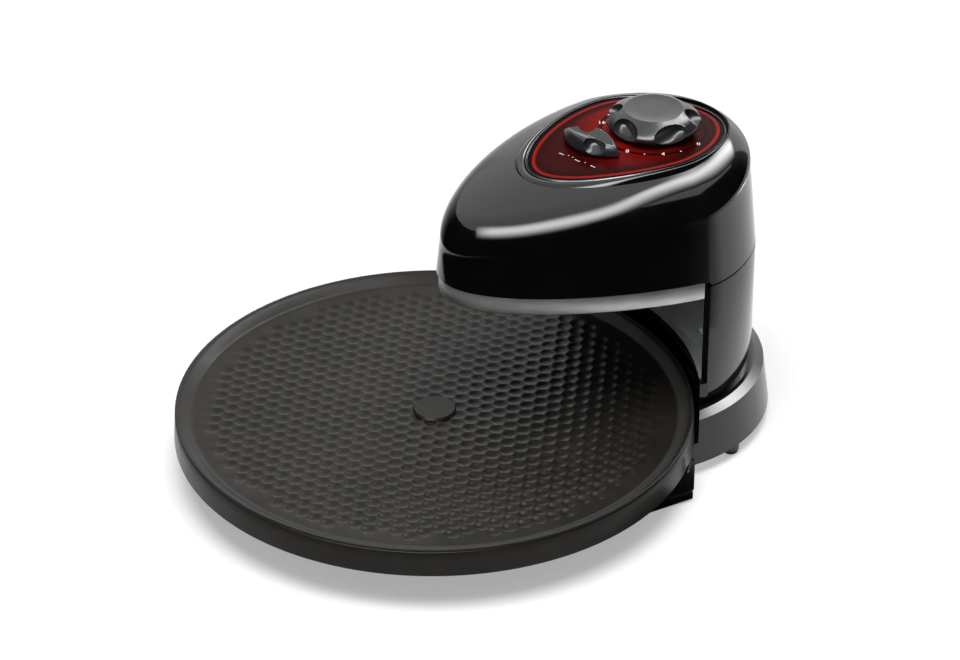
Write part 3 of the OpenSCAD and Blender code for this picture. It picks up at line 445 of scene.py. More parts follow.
surfaces = {
    # color and its second shade, roughness range, metallic, specular, patch scale (1/m), grain (scale, height
    # in mm), brushing (along, across, upright, share), specks (scale, size, color), wipes amount
    "pianoBlack": dict(
        color=(0.0017, 0.0017, 0.0019), shade=(0.0028, 0.0028, 0.003), rough=(0.065, 0.085), specular=0.5,
        patch=22, grain=(240, 0.0012), wipes=0.05),
    "baseBlack": dict(
        color=(0.0022, 0.0022, 0.0024), shade=(0.004, 0.004, 0.0042), rough=(0.19, 0.25), specular=0.5,
        patch=30, grain=(600, 0.002), wipes=0.06),
    "mattBlack": dict(
        color=(0.012, 0.012, 0.0122), shade=(0.018, 0.018, 0.0185), rough=(0.5, 0.62), specular=0.3,
        patch=60, grain=(2200, 0.02)),
    "rubberBlack": dict(
        color=(0.014, 0.014, 0.0143), shade=(0.026, 0.026, 0.027), rough=(0.72, 0.88), specular=0.2,
        patch=110, grain=(3000, 0.03), specks=(1200, 0.1, (0.05, 0.05, 0.05))),
    "nonStick": dict(
        color=(0.0088, 0.0079, 0.0068), shade=(0.0148, 0.0134, 0.0116), rough=(0.29, 0.36), specular=0.13,
        patch=26, grain=(2600, 0.012), specks=(1500, 0.13, (0.024, 0.022, 0.019))),
    "brightSteel": dict(
        color=(0.58, 0.58, 0.57), shade=(0.44, 0.44, 0.43), rough=(0.24, 0.36), metallic=1, patch=45,
        grain=(1800, 0.004), brush=(60, 2600, 2600, 0.35)),
    "linerSteel": dict(
        color=(0.5, 0.53, 0.51), shade=(0.38, 0.41, 0.39), rough=(0.4, 0.55), metallic=0.8, patch=18,
        grain=(900, 0.004), brush=(2200, 2200, 30, 0.4), wipes=0.12),
    "bandMetal": dict(
        color=(0.56, 0.555, 0.55), shade=(0.47, 0.465, 0.455), rough=(0.3, 0.4), metallic=1, patch=55,
        grain=(1300, 0.02), brush=(500, 500, 2400, 0.25)),
    "rodSheath": dict(
        color=(0.05, 0.056, 0.052), shade=(0.085, 0.078, 0.068), rough=(0.45, 0.65), metallic=0.6,
        patch=90, grain=(2400, 0.02)),
    "machined": dict(
        color=(0.5, 0.5, 0.49), shade=(0.4, 0.4, 0.39), rough=(0.18, 0.3), metallic=1, patch=80,
        grain=(2600, 0.004), brush=(2600, 2600, 300, 0.4)),
    "bronze": dict(
        color=(0.36, 0.2, 0.09), shade=(0.26, 0.14, 0.07), rough=(0.35, 0.5), metallic=1, patch=200,
        grain=(3200, 0.01), specks=(2600, 0.14, (0.1, 0.06, 0.03))),
    "chrome": dict(
        color=(0.1, 0.1, 0.104), shade=(0.07, 0.07, 0.073), rough=(0.08, 0.15), metallic=1, patch=70,
        grain=(900, 0.001), wipes=0.1),
    "gunmetal": dict(
        color=(0.016, 0.0165, 0.018), shade=(0.026, 0.0265, 0.029), rough=(0.2, 0.28), metallic=0.1,
        specular=0.5, patch=60, grain=(3000, 0.006), wipes=0.08),
    "porcelain": dict(
        color=(0.72, 0.7, 0.64), shade=(0.62, 0.59, 0.52), rough=(0.35, 0.5), specular=0.5, patch=160,
        grain=(1600, 0.006), specks=(1800, 0.12, (0.42, 0.36, 0.28))),
    "fibreWool": dict(
        color=(0.62, 0.6, 0.53), shade=(0.45, 0.43, 0.37), rough=(0.85, 0.95), specular=0.1, patch=150,
        grain=(1400, 0.12), brush=(90, 1500, 1500, 0.5)),
    "wireSleeve": dict(
        color=(0.55, 0.52, 0.42), shade=(0.38, 0.36, 0.28), rough=(0.6, 0.75), specular=0.3, patch=300,
        grain=(2600, 0.03), brush=(2400, 2400, 500, 0.5)),
    "print": dict(
        color=(0.72, 0.72, 0.7), shade=(0.55, 0.55, 0.53), rough=(0.5, 0.6), specular=0.2, patch=500,
        grain=(4000, 0.002)),
}


def makeSurface(name):
    look = surfaces[name]
    material, nodes, links, shader = newMaterial(name)
    tree = material.node_tree
    place = nodes.new("ShaderNodeTexCoord").outputs["Object"]
    share = effect(tree, "patches", place, Scale=look["patch"])
    color = colorMix(tree, share, look["color"], look["shade"])
    low, high = look["rough"]
    rough = effect(tree, "patches", place, Scale=look["patch"] * 2.7, Low=low, High=high)
    if "brush" in look:
        along, across, upright, amount = look["brush"]
        lines = effect(tree, "brushing", place, Along=along, Across=across, Upright=upright)
        color = colorMix(tree, mathNode(tree, "MULTIPLY", lines, amount), color, look["shade"])
        rough = mathNode(tree, "ADD", rough, mathNode(tree, "MULTIPLY", lines, 0.2 * amount))
    if "specks" in look:
        scale, size, fleck = look["specks"]
        color = colorMix(tree, effect(tree, "specks", place, Scale=scale, Size=size), color, fleck)
    if "wipes" in look:
        rough = mathNode(tree, "ADD", rough, effect(tree, "wipes", place, Amount=look["wipes"]))
    links.new(color, shader.inputs["Base Color"])
    links.new(rough, shader.inputs["Roughness"])
    shader.inputs["Metallic"].default_value = look.get("metallic", 0)
    shader.inputs["Specular IOR Level"].default_value = look.get("specular", 0.5)
    scale, height = look["grain"]
    bump = nodes.new("ShaderNodeBump")
    bump.inputs["Distance"].default_value = height * mm
    links.new(effect(tree, "grain", place, Scale=scale), bump.inputs["Height"])
    links.new(bump.outputs["Normal"], shader.inputs["Normal"])
    return material


redPanel = {
    # light, lit and the reach from the hub set a painted pool of light: the red fill is painted lighter near
    # the hub, most on its side towards the front left
    "hub": (0, 160, 198), "light": (-0.42, -0.9, 0), "printRing": 33.5, "printWidth": 1.5,
    "line": (0.27, 0.008, 0.006), "fill": (0.17, 0.005, 0.0035),
    "deep": (0.018, 0.0013, 0.0012), "black": (0.0015, 0.0012, 0.0012),
    # mm in from the rim over which the border ends, the line ends and the fill begins
    "borderEnd": (2, 2.64), "lineEnd": (3.52, 5), "fillStart": (6, 12),
    "lit": (-0.024, 0.034), "paintedLightReach": (0.033, 0.058),  # metres from the hub
}
borderShare = 0.025  # the border attribute says 1 at 40 mm in


def makeRedPanel():  # black border, bright line, and a painted pool of light round the timer knob, lighter on its side towards the front left
    material, nodes, links, shader = newMaterial("panelRed")
    tree = material.node_tree
    place = nodes.new("ShaderNodeTexCoord").outputs["Object"]
    inset = nodes.new("ShaderNodeAttribute")
    inset.attribute_name = "border"
    x, y, z = redPanel["hub"]
    fromHub = vectorNode(tree, "SUBTRACT", place, (x * mm, (y + axisY) * mm, z * mm))
    away = vectorNode(tree, "LENGTH", fromHub)
    # painted light: the fill is painted lighter near the hub on its side towards the light, and stays deep
    # red elsewhere
    towardLight = vectorNode(tree, "DOT_PRODUCT", fromHub, redPanel["light"])
    towardLight = rangeNode(tree, towardLight, *redPanel["lit"], 0.12, 1.0, True)
    near = rangeNode(tree, away, *redPanel["paintedLightReach"], 1.0, 0.1, True)
    glow = mathNode(tree, "MULTIPLY", towardLight, near)
    glow = mathNode(tree, "MULTIPLY", glow, effect(tree, "patches", place, Scale=120.0, Low=0.85, High=1.0))
    fill = colorMix(tree, glow, redPanel["deep"], redPanel["fill"])
    ring = mathNode(tree, "ABSOLUTE", mathNode(tree, "SUBTRACT", away, redPanel["printRing"] * mm))
    half = redPanel["printWidth"] * mm / 2
    fill = colorMix(tree, rangeNode(tree, ring, half, 2.4 * half, 0.85, 0.0, True), fill, redPanel["black"])

    def inwards(key, outer, inner):
        low, high = (borderShare * edge for edge in redPanel[key])
        return rangeNode(tree, inset.outputs["Fac"], low, high, outer, inner, True)

    fill = colorMix(tree, inwards("fillStart", 0.0, 1.0), redPanel["deep"], fill)
    fill = colorMix(tree, inwards("lineEnd", 1.0, 0.0), fill, redPanel["line"])
    fill = colorMix(tree, inwards("borderEnd", 1.0, 0.0), fill, redPanel["black"])
    links.new(fill, shader.inputs["Base Color"])
    links.new(effect(tree, "patches", place, Scale=200.0, Low=0.18, High=0.24), shader.inputs["Roughness"])
    shader.inputs["Specular IOR Level"].default_value = 0.02
    bump = nodes.new("ShaderNodeBump")
    bump.inputs["Distance"].default_value = 0.004 * mm
    links.new(effect(tree, "grain", place, Scale=2600.0), bump.inputs["Height"])
    links.new(bump.outputs["Normal"], shader.inputs["Normal"])
    return material


finish = {name: makeSurface(name) for name in surfaces}
finish["panelRed"] = makeRedPanel()
finishes = {
    "shell_gloss": "pianoBlack", "black_matt": "mattBlack", "rubber": "rubberBlack", "nonstick": "nonStick",
    "bright_steel": "brightSteel", "liner_steel": "linerSteel", "band_metal": "bandMetal",
    "rod_sheath": "rodSheath", "machined": "machined", "bushing_bronze": "bronze", "panel_red": "panelRed",
    "ring_chrome": "chrome", "knob_grey": "gunmetal", "ceramic": "porcelain", "fibre": "fibreWool",
    "wire_sleeve": "wireSleeve",
}
slotOf = {part["node"]: part["material_slot"] for part in frame["record"]["subparts"]}
ownLook = {"base_shell": "baseBlack", "small_screws": "linerSteel"}
for name, node in frame["nodes"].items():
    node.data.materials.clear()
    node.data.materials.append(finish[ownLook.get(name, finishes[slotOf[name]])])
print("finishes ready")


# steps shared by the pieces
def at(x, y, z):  # mm from the tray axis to metres in the frame
    return Vector((x * mm, (y + axisY) * mm, z * mm))


def bezier(a, b, c, d, count):
    points = []
    for i in range(count):
        t = i / count
        u = 1 - t
        weights = (u**3, 3 * u * u * t, 3 * u * t * t, t**3)
        points.append(tuple(sum(w * p[k] for w, p in zip(weights, (a, b, c, d))) for k in (0, 1)))
    return points


def bothSides(half):  # right half from front to rear, mirrored back to the front
    return half + [(-x, y) for x, y in reversed(half[1:-1])]


def edgeNormal(outline, i):
    a, b = outline[i - 1], outline[(i + 1) % len(outline)]
    dx, dy = b[0] - a[0], b[1] - a[1]
    length = math.hypot(dx, dy)
    return dy / length, -dx / length


def grown(outline, width):  # moved outwards all round
    result = []
    for i, (x, y) in enumerate(outline):
        nx, ny = edgeNormal(outline, i)
        result.append((x + nx * width, y + ny * width))
    return result


def pick(piece):
    bpy.ops.object.select_all(action="DESELECT")
    piece.select_set(True)
    bpy.context.view_layer.objects.active = piece


def settle(piece):  # place, turn and scale go into the mesh
    pick(piece)
    bpy.ops.object.transform_apply(location=True, rotation=True, scale=True)


def applyModifier(piece, modifier):
    pick(piece)
    bpy.ops.object.modifier_apply(modifier=modifier.name)


def mendMesh(gap=1e-6):  # the active piece: doubles merged and faces turned outwards
    bpy.ops.object.mode_set(mode="EDIT")
    bpy.ops.mesh.select_all(action="SELECT")
    bpy.ops.mesh.remove_doubles(threshold=gap)
    bpy.ops.mesh.normals_make_consistent(inside=False)
    bpy.ops.object.mode_set(mode="OBJECT")


def joinInto(piece, others):
    pick(piece)
    for other in others:
        other.select_set(True)
    bpy.ops.object.join()


def skin(name, rings, joined=False):  # a grid laid over rings of points
    rows = rings + [rings[0]] if joined else rings
    count = len(rows[0])
    bpy.ops.mesh.primitive_grid_add(x_subdivisions=count, y_subdivisions=len(rows) - 1, size=1)
    piece = newPiece(name)
    for r, ring in enumerate(rows):
        for c in range(count + 1):
            piece.data.vertices[r * (count + 1) + c].co = at(*ring[c % count])
    mendMesh()
    return piece


def prism(name, outline, low, high):
    bpy.ops.mesh.primitive_circle_add(vertices=len(outline), radius=1, fill_type="NGON")
    piece = newPiece(name)
    for vertex, (x, y) in zip(piece.data.vertices, outline):
        vertex.co = at(x, y, low)
    bpy.ops.object.mode_set(mode="EDIT")
    bpy.ops.mesh.select_all(action="SELECT")
    bpy.ops.mesh.extrude_region_move(TRANSFORM_OT_translate={"value": (0, 0, (high - low) * mm)})
    bpy.ops.mesh.select_all(action="SELECT")
    bpy.ops.mesh.normals_make_consistent(inside=False)
    bpy.ops.object.mode_set(mode="OBJECT")
    return piece


def circle(x, y, radius, sides):
    turns = [2 * math.pi * i / sides for i in range(sides)]
    return [(x + radius * math.cos(turn), y + radius * math.sin(turn)) for turn in turns]


def drum(name, x, y, radius, low, high, sides):
    return prism(name, circle(x, y, radius, sides), low, high)


def block(name, x0, x1, y0, y1, low, high):
    return prism(name, [(x0, y0), (x1, y0), (x1, y1), (x0, y1)], low, high)


def turned(profile, y, base, sides):  # (radius, height) points spun about an upright axis
    return [[(*spot, base + height) for spot in circle(0, y, radius, sides)] for radius, height in profile]


def combine(piece, tool, operation):
    modifier = piece.modifiers.new(operation.title(), "BOOLEAN")
    modifier.operation = operation
    modifier.solver = "EXACT"
    modifier.object = tool
    applyModifier(piece, modifier)
    bpy.data.objects.remove(tool)


def softEdges(piece, width, segments, angle):
    modifier = piece.modifiers.new("softEdges", "BEVEL")
    modifier.width = width * mm
    modifier.segments = segments
    modifier.limit_method = "ANGLE"
    modifier.angle_limit = math.radians(angle)
    applyModifier(piece, modifier)


def finishPiece(piece, body, nodes, slot, smooth=35, look=None):
    pick(piece)
    bpy.ops.object.shade_smooth_by_angle(angle=math.radians(smooth))
    piece.data.materials.clear()
    piece.data.materials.append(finish[look or finishes[slot]])
    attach(piece, body)
    if nodes:
        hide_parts(*nodes)


# head
head = {
    "noseY": 6.2, "noseRound": 38.3, "halfWidth": 84.5, "flankY": 149, "flankLean": 8.5, "flankReach": 61.4,
    "rearRound": 61.4, "rearY": 223, "cornerShare": 0.3, "jambY": 151, "throatBack": 171,
    "lowerEdge": 130.4, "seam": 127.7, "towerFoot": 41, "wall": 2.5,
    "crownTop": 202.4, "crownY": 160, "crownLongRadius": 362, "crownSideRadius": 200, "draft": 5.5,
    "shoulderWidth": (13, 28), "shoulderHeight": (18, 9),  # at the nose and at the rear
    "wallSteps": (0.018, 0.2, 0.4, 0.6, 0.8, 0.93), "crownSteps": 34, "crownCurve": 2.4,
    "lipWidth": 0.7, "lipRise": 0.15,
}
panel = {
    "front": 71.5, "back": 207, "halfWidth": 48, "midY": 150, "nose": 25, "tail": 26, "top": 197.5,
    "sideAhead": 34, "sideBehind": 24, "archRadius": 435, "thickness": 3, "gap": 0.3, "hubY": 140,
    "ringWidth": 1.6, "faceSteps": 20, "hubInset": 40,
    "faceRings": (0, 0.5, 1, 1.5, 2, 2.5, 3, 3.5, 4, 4.5, 5, 5.5, 6, 7, 8, 9, 10),  # mm in from the rim
    "ringProfile": (  # mm out from the panel and up from its top
        (0.05, -3), (0.05, 0.1), (0.16, 0.34), (0.32, 0.44), (0.5, 0.36), (0.68, 0.08), (0.84, -0.05),
        (1.0, 0.06), (1.16, 0.3), (1.34, 0.36), (1.5, 0.25), (1.6, 0), (1.6, -3)),
}
moulding = {
    "front": 8, "back": 3.4, "steps": 14, "riseCurve": 1.3, "swell": 1.3, "swellCurve": 0.8,
    "tuck": 3, "seat": 4, "seatDrop": 2,
}


def headOutline(frontCount=48, rearCount=40):  # in plan, round the widest place on each side
    x, y = flank = (head["halfWidth"], head["flankY"])
    lean, reach, corner = head["flankLean"], head["flankReach"], head["cornerShare"]
    nose, rear = (0, head["noseY"]), (0, head["rearY"])
    half = bezier(nose, (head["noseRound"], nose[1]), (x - lean, y - reach), flank, frontCount)
    behind = (x + corner * lean, y + corner * reach)
    half += bezier(flank, behind, (head["rearRound"], rear[1]), rear, rearCount)
    return bothSides(half + [rear])


def panelOutline():
    x, y = side = (panel["halfWidth"], panel["midY"])
    front, back = (0, panel["front"]), (0, panel["back"])
    half = bezier(front, (panel["nose"], front[1]), (x, y - panel["sideAhead"]), side, 48)
    half += bezier(side, (x, y + panel["sideBehind"]), (panel["tail"], back[1]), back, 40)
    return bothSides(half + [back])


def crown(x, y):  # the height of the head's domed top
    along = (y - head["crownY"]) ** 2 / (2 * head["crownLongRadius"])
    return head["crownTop"] - along - x * x / (2 * head["crownSideRadius"])


def panelTop(y):
    return panel["top"] - (y - panel["midY"]) ** 2 / (2 * panel["archRadius"])


def shoulder(key, y):  # goes from its size at the nose to its size at the rear
    nose, rear = head[key]
    return nose + (rear - nose) * min(1, max(0, (y - head["noseY"]) / (head["rearY"] - head["noseY"])))


def browRing(outline, inward):  # the top of the wall, which leans in by its draft
    ring = []
    for i, (x, y) in enumerate(outline):
        nx, ny = edgeNormal(outline, i)
        z = crown(x, y) - shoulder("shoulderHeight", y)
        lean = (z - head["seam"]) * math.tan(math.radians(head["draft"])) + inward
        ring.append((x - nx * lean, y - ny * lean, z - inward))
    return ring


def crownRing(outline, brow, rim, f, inward):  # from the brow towards the rim, over the rounded shoulder
    ring = []
    for i, (bx, by, _) in enumerate(brow):
        x, y = bx + f * (rim[i][0] - bx), by + f * (rim[i][1] - by)
        nx, ny = edgeNormal(outline, i)
        d = max(0, (bx - x) * nx + (by - y) * ny)
        width, height = shoulder("shoulderWidth", outline[i][1]), shoulder("shoulderHeight", outline[i][1])
        drop = 0 if d >= width else height * (1 - math.sqrt(max(0, 1 - (1 - d / width) ** 2)))
        ring.append((x, y, crown(x, y) - drop - inward))
    return ring


def mouldingRim(extra=0):  # the outer edge of the raised moulding round the panel
    outline = panelOutline()
    ring = []
    for i, (x, y) in enumerate(outline):
        nx, ny = edgeNormal(outline, i)
        t = (y - panel["front"]) / (panel["back"] - panel["front"])
        w = moulding["front"] + (moulding["back"] - moulding["front"]) * t + extra
        ring.append((x + nx * w, y + ny * w))
    return ring


def makeHeadShell():
    outline = headOutline()
    rim = mouldingRim()
    steps = [f ** head["crownCurve"] for f in spread(0, 1, head["crownSteps"])]

    def foot(width):  # the lower edge, which drops to the seam behind the jambs
        edge = grown(outline, -width)
        return [(x, y, head["lowerEdge"] if y < head["jambY"] else head["seam"]) for x, y in edge]

    outer, inner = browRing(outline, 0), browRing(outline, head["wall"])

    def wallRing(f):
        return [tuple(a + (b - a) * f for a, b in zip(low, high)) for low, high in zip(foot(0), outer)]

    rings = [[(x, y, z + head["lipRise"]) for x, y, z in foot(head["lipWidth"])]]
    rings += [wallRing(f) for f in head["wallSteps"]]
    rings += [crownRing(outline, outer, rim, f, 0) for f in steps]
    rings += [crownRing(outline, inner, rim, f, head["wall"]) for f in reversed(steps[::4])]
    rings += [foot(head["wall"])]
    return skin("headShell", rings, joined=True)


def makeMoulding():
    outline = headOutline()
    gap = panel["gap"]
    flush = crownRing(outline, browRing(outline, 0), mouldingRim(-gap), 1, 0)
    pocket = grown(panelOutline(), panel["ringWidth"] + gap)
    rings = [[(x, y, z - moulding["tuck"]) for x, y, z in flush]]
    for f in spread(0, 1, moulding["steps"]):
        rise = math.sin(f * math.pi / 2) ** moulding["riseCurve"]
        swell = moulding["swell"] * math.sin(f * math.pi) ** moulding["swellCurve"]
        ring = []
        for (x, y, z), (px, py) in zip(flush, pocket):
            top = panelTop(py) - gap
            ring.append((x + (px - x) * f, y + (py - y) * f, z + (top - z) * rise + swell))
        rings.append(ring)
    under = panel["thickness"] + gap
    seat = grown(panelOutline(), -moulding["seat"])
    for edge, drop in ((pocket, under), (seat, under), (seat, under + moulding["seatDrop"])):
        rings.append([(x, y, panelTop(y) - drop) for x, y in edge])
    return skin("panelMoulding", rings, joined=True)


def makePanelRing():
    rings = []
    for outward, lift in panel["ringProfile"]:
        rings.append([(x, y, panelTop(y) + lift) for x, y in grown(panelOutline(), outward)])
    return skin("panelRing", rings, joined=True)


def makePanelFace():  # carries how far in from its rim each point lies, for the printed border
    outline = grown(panelOutline(), -panel["gap"])
    hubY = panel["hubY"]
    under = [[(0, hubY, panelTop(hubY) - panel["thickness"])] * len(outline),
             [(x, y, panelTop(y) - panel["thickness"]) for x, y in outline]]
    tops, insets = [], list(panel["faceRings"])
    for inset in insets:
        tops.append([(x, y, panelTop(y)) for x, y in grown(outline, -inset)])
    last, lastInset = tops[-1], insets[-1]
    for f in spread(0, 1, panel["faceSteps"])[1:]:  # the rest closes in on the hub
        ring = [(x - x * f, y + (hubY - y) * f) for x, y, z in last]
        tops.append([(x, y, panelTop(y)) for x, y in ring])
        insets.append(lastInset + (panel["hubInset"] - lastInset) * f)
    piece = skin("panelFace", under + tops)
    border = piece.data.attributes.new("border", "FLOAT", "POINT")

    def spot(place):
        return tuple(round(value, 6) for value in place)

    insetAt = {spot(at(*place)): inset for ring, inset in zip(tops, insets) for place in ring}
    for vertex in piece.data.vertices:
        border.data[vertex.index].value = insetAt.get(spot(vertex.co), 0) * borderShare
    return piece


marks = {
    # angle about the timer's axis (degrees from +X) and the number, or None for a dot
    "timer": [(26, "0"), (-1, None), (-21.5, "4"), (-41.5, None), (-61, "8"), (-81, None), (-101, "12"),
              (-119, None), (-135, "16"), (-154, None)],
    "reach": 33.5, "size": 5, "bold": 0.05, "dot": 0.6, "lift": 0.03, "thickness": 0.05, "face": 60,
    "dash": 0.42, "dashSteps": 3, "smallDot": 0.36, "dotSides": 16,
    "selector": [((-7.5, 95.5), (-4.5, 96.3)), ((5.5, 99.2), (8.5, 100.0)), ((17.5, 103.2), (20.5, 104.0))],
    "selectorDots": [(-1.5, 98.6), (1.8, 99.4), (12.2, 102.2)],
}


def makeMarks():
    pieces = []
    half = marks["thickness"] / 2 * mm

    def drape(piece, lift=0):  # laid on the arched panel
        for vertex in piece.data.vertices:
            y = vertex.co.y / mm - axisY
            vertex.co.z += (panelTop(y) + marks["lift"]) * mm + lift
        pieces.append(piece)

    def dot(x, y, radius):
        drape(drum("dot", x, y, radius, 0, marks["thickness"], marks["dotSides"]))

    for angle, number in marks["timer"]:
        a = math.radians(angle)
        x, y = marks["reach"] * math.cos(a), timerKnob["y"] + marks["reach"] * math.sin(a)
        if number is None:
            dot(x, y, marks["dot"])
            continue
        bpy.ops.object.text_add(location=at(x, y, 0), rotation=(0, 0, math.radians(marks["face"])))
        text = bpy.context.object.data
        text.body = number
        text.size = marks["size"] * mm
        text.align_x, text.align_y = "CENTER", "CENTER"
        text.resolution_u = 3
        text.extrude = half
        text.offset = marks["bold"] * mm
        bpy.ops.object.convert(target="MESH")
        piece = newPiece("number")
        settle(piece)
        drape(piece, half)
    for (x0, y0), (x1, y1) in marks["selector"]:
        for f in spread(0, 1, marks["dashSteps"]):
            dot(x0 + (x1 - x0) * f, y0 + (y1 - y0) * f, marks["dash"])
    for x, y in marks["selectorDots"]:
        dot(x, y, marks["smallDot"])
    joinInto(pieces[0], pieces[1:])
    mendMesh()
    return newPiece("dialMarks")


# bright band under the head
band = {"low": 118.4, "inset": 1.5, "sheet": 0.8, "backY": 148, "lip": 1.0, "tuck": 2}


def makeBand():
    outline = headOutline(72, 40)
    inset, low, sheet, edge = band["inset"], band["low"], band["sheet"], head["lowerEdge"]
    tuck = edge + band["tuck"]
    across = [  # how far in from the head's outline, and the height
        (inset + 0.25, edge), (inset, edge - 0.6), (inset, low + band["lip"]), (inset + 0.12, low + 0.45),
        (inset + 0.4, low + 0.1), (inset + 0.8, low), (inset + 1.3, low + 0.2), (inset + 1.4, low + 0.8),
        (inset + sheet + 0.4, low + 1.2), (inset + sheet, low + 2.2), (inset + sheet, tuck),
        (inset + 0.25, tuck),
    ]
    rings = [[(x, y, z) for x, y in grown(outline, -w)] for w, z in across]
    piece = skin("heatBand", rings, joined=True)
    bpy.ops.object.mode_set(mode="EDIT")
    bpy.ops.mesh.select_all(action="SELECT")
    cut = at(0, band["backY"], 0)
    bpy.ops.mesh.bisect(plane_co=cut, plane_no=(0, 1, 0), use_fill=True, clear_outer=True)
    bpy.ops.object.mode_set(mode="OBJECT")
    return piece


# tower
tower = {
    "sill": 57, "liner": 0.8, "throatHalf": 77, "clearRadius": 168.5, "clearOver": 3, "serviceY": 174.3,
    "seamGap": 0.25, "edge": (0.7, 3, 40),
}


def makeTower():
    outline = headOutline()
    back = head["throatBack"] + tower["liner"]
    half = tower["throatHalf"] + tower["liner"]
    foot, seam, sill = head["towerFoot"], head["seam"], tower["sill"] - tower["liner"]
    piece = prism("towerShell", outline, foot, seam - tower["seamGap"])
    # the front of the body stops at the jambs above the sill; every cutter reaches well past the shell
    combine(piece, block("frontAir", -120, 120, -60, head["jambY"], sill, 200), "DIFFERENCE")
    combine(piece, block("throatAir", -half, half, 100, back, sill, 200), "DIFFERENCE")
    clear = tower["sill"] + tower["clearOver"]
    combine(piece, drum("trayAir", 0, 0, tower["clearRadius"], 0, clear, 256), "DIFFERENCE")
    inner = prism("serviceAir", grown(outline, -head["wall"]), foot - 5, seam + 5)
    combine(inner, block("keepRear", -200, 200, tower["serviceY"], 400, 0, 300), "INTERSECT")
    combine(piece, inner, "DIFFERENCE")
    softEdges(piece, *tower["edge"])
    return piece


wingShoe = {
    "plan": [(83.5, 20), (123.05, 78), (123.05, 117.7), (111, 117.7), (111, 81.7), (78.3, 33.8), (78.3, 20)],
    "heights": (1.4, 8.0), "edge": (0.4, 2, 35),
}


def makeWingShoes():  # the strips that the wings stand over, with a fine line above them
    plan, heights = wingShoe["plan"], wingShoe["heights"]
    piece = prism("wingShoes", plan, *heights)
    combine(piece, prism("otherShoe", [(-x, y) for x, y in reversed(plan)], *heights), "UNION")
    softEdges(piece, *wingShoe["edge"])
    return piece


# knobs
timerKnob = {
    "y": 160, "z": 198.4, "radius": 30, "top": 18.6, "height": 13.97, "bore": 3.02,
    "dish": 0.35, "plug": 3.9, "sides": 144, "edge": (0.5, 3, 28),
    "scoops": 6, "firstScoop": -70.5, "scoopReach": 29.2, "scoopHeight": 9.1, "scoopSize": (13.2, 7.8, 6.6),
}
selectorKnob = {
    "y": 114, "z": 196.4, "length": 46, "width": 21, "height": 10.6, "turn": 20, "fall": 0.42,
    "fallFrom": 1.6, "steps": 24, "edge": (0.5, 3, 28),
    "scoopOut": 9.5, "scoopSide": 9.6, "scoopHeight": 0.72, "scoopSize": (9.5, 7.5, 5.6),
}


def scooped(piece, place, turn, size):  # cuts a hollow shaped like part of an egg
    bpy.ops.mesh.primitive_uv_sphere_add(segments=48, ring_count=32, radius=1)
    scoop = newPiece("scoop")
    bpy.ops.transform.resize(value=tuple(s * mm for s in size))
    bpy.ops.transform.rotate(value=turn, orient_axis="Z", center_override=(0, 0, 0))
    bpy.ops.transform.translate(value=place)
    settle(scoop)
    combine(piece, scoop, "DIFFERENCE")


def makeTimerKnob():
    r, h, top = timerKnob["radius"], timerKnob["height"], timerKnob["top"]
    y, z, bore, dish = timerKnob["y"], timerKnob["z"], timerKnob["bore"], timerKnob["dish"]
    profile = [
        (bore, 0), (r - 4.6, 0), (r - 4.1, 0.2), (r - 3.2, 1.3), (r - 1.8, 2.9), (r - 0.7, 4.1),
        (r - 0.15, 5.0), (r, 5.8), (r - 0.2, 6.6), (r - 0.8, 7.6), (r - 2.0, 9.0), (r - 3.8, 10.5),
        (r - 6.2, 11.9), (top + 3.1, 12.75), (top + 1.4, 13.4), (top + 0.5, 13.75), (top + 0.05, h),
        (top - 0.5, h - 0.02), (top - 0.9, h - 0.16), (top * 0.5, h - 0.3), (bore, h - dish),
    ]
    piece = skin("timerKnob", turned(profile, y, z, timerKnob["sides"]), joined=True)
    plug = drum("knobMiddle", 0, y, bore + 0.01, z + h - timerKnob["plug"], z + h - dish, 32)
    combine(piece, plug, "UNION")
    for i in range(timerKnob["scoops"]):
        a = math.radians(timerKnob["firstScoop"] + i * 360 / timerKnob["scoops"])
        reach = timerKnob["scoopReach"]
        place = at(reach * math.cos(a), y + reach * math.sin(a), z + timerKnob["scoopHeight"])
        scooped(piece, place, a + math.pi / 2, timerKnob["scoopSize"])
    softEdges(piece, *timerKnob["edge"])
    return piece


def makeSelectorKnob():
    length, width, h = selectorKnob["length"], selectorKnob["width"], selectorKnob["height"]
    arc = (length**2 + width**2) / (4 * width)
    end = length / 2 - 1
    across = spread(-end, end, selectorKnob["steps"])
    side = [(x, (arc - width / 2) - math.sqrt(arc**2 - x * x)) for x in across]  # near side of the lens
    lens = side + [(-x, -y) for x, y in side]
    spin = math.radians(selectorKnob["turn"])

    def placed(x, y):
        return (x * math.cos(spin) - y * math.sin(spin),
                selectorKnob["y"] + x * math.sin(spin) + y * math.cos(spin))

    z = selectorKnob["z"]
    profile = [  # how far in from the outline, and the height
        (1.6, 0), (1.0, 0.3), (0.3, 1.6), (0, 2.6), (0.1, 3.6), (0.5, h * 0.6), (1.1, h * 0.78),
        (1.9, h - 0.9), (2.9, h - 0.2), (3.6, h),
    ]
    rings = []
    for inward, lift in profile:  # the top falls towards both ends
        fall = max(0, lift - selectorKnob["fallFrom"]) * selectorKnob["fall"]
        rings.append([(*placed(x, y), z + lift - fall * (x / end) ** 2) for x, y in grown(lens, -inward)])
    piece = skin("selectorKnob", rings)
    bpy.ops.object.mode_set(mode="EDIT")
    bpy.ops.mesh.select_all(action="DESELECT")
    bpy.ops.mesh.select_non_manifold()
    bpy.ops.mesh.edge_face_add()
    bpy.ops.mesh.select_all(action="SELECT")
    bpy.ops.mesh.fill_holes(sides=0)
    bpy.ops.mesh.normals_make_consistent(inside=False)
    bpy.ops.object.mode_set(mode="OBJECT")
    for s in (-1, 1):
        place = placed(s * selectorKnob["scoopOut"], -s * selectorKnob["scoopSide"])
        scooped(piece, at(*place, z + h * selectorKnob["scoopHeight"]), spin, selectorKnob["scoopSize"])
    softEdges(piece, *selectorKnob["edge"])
    return piece


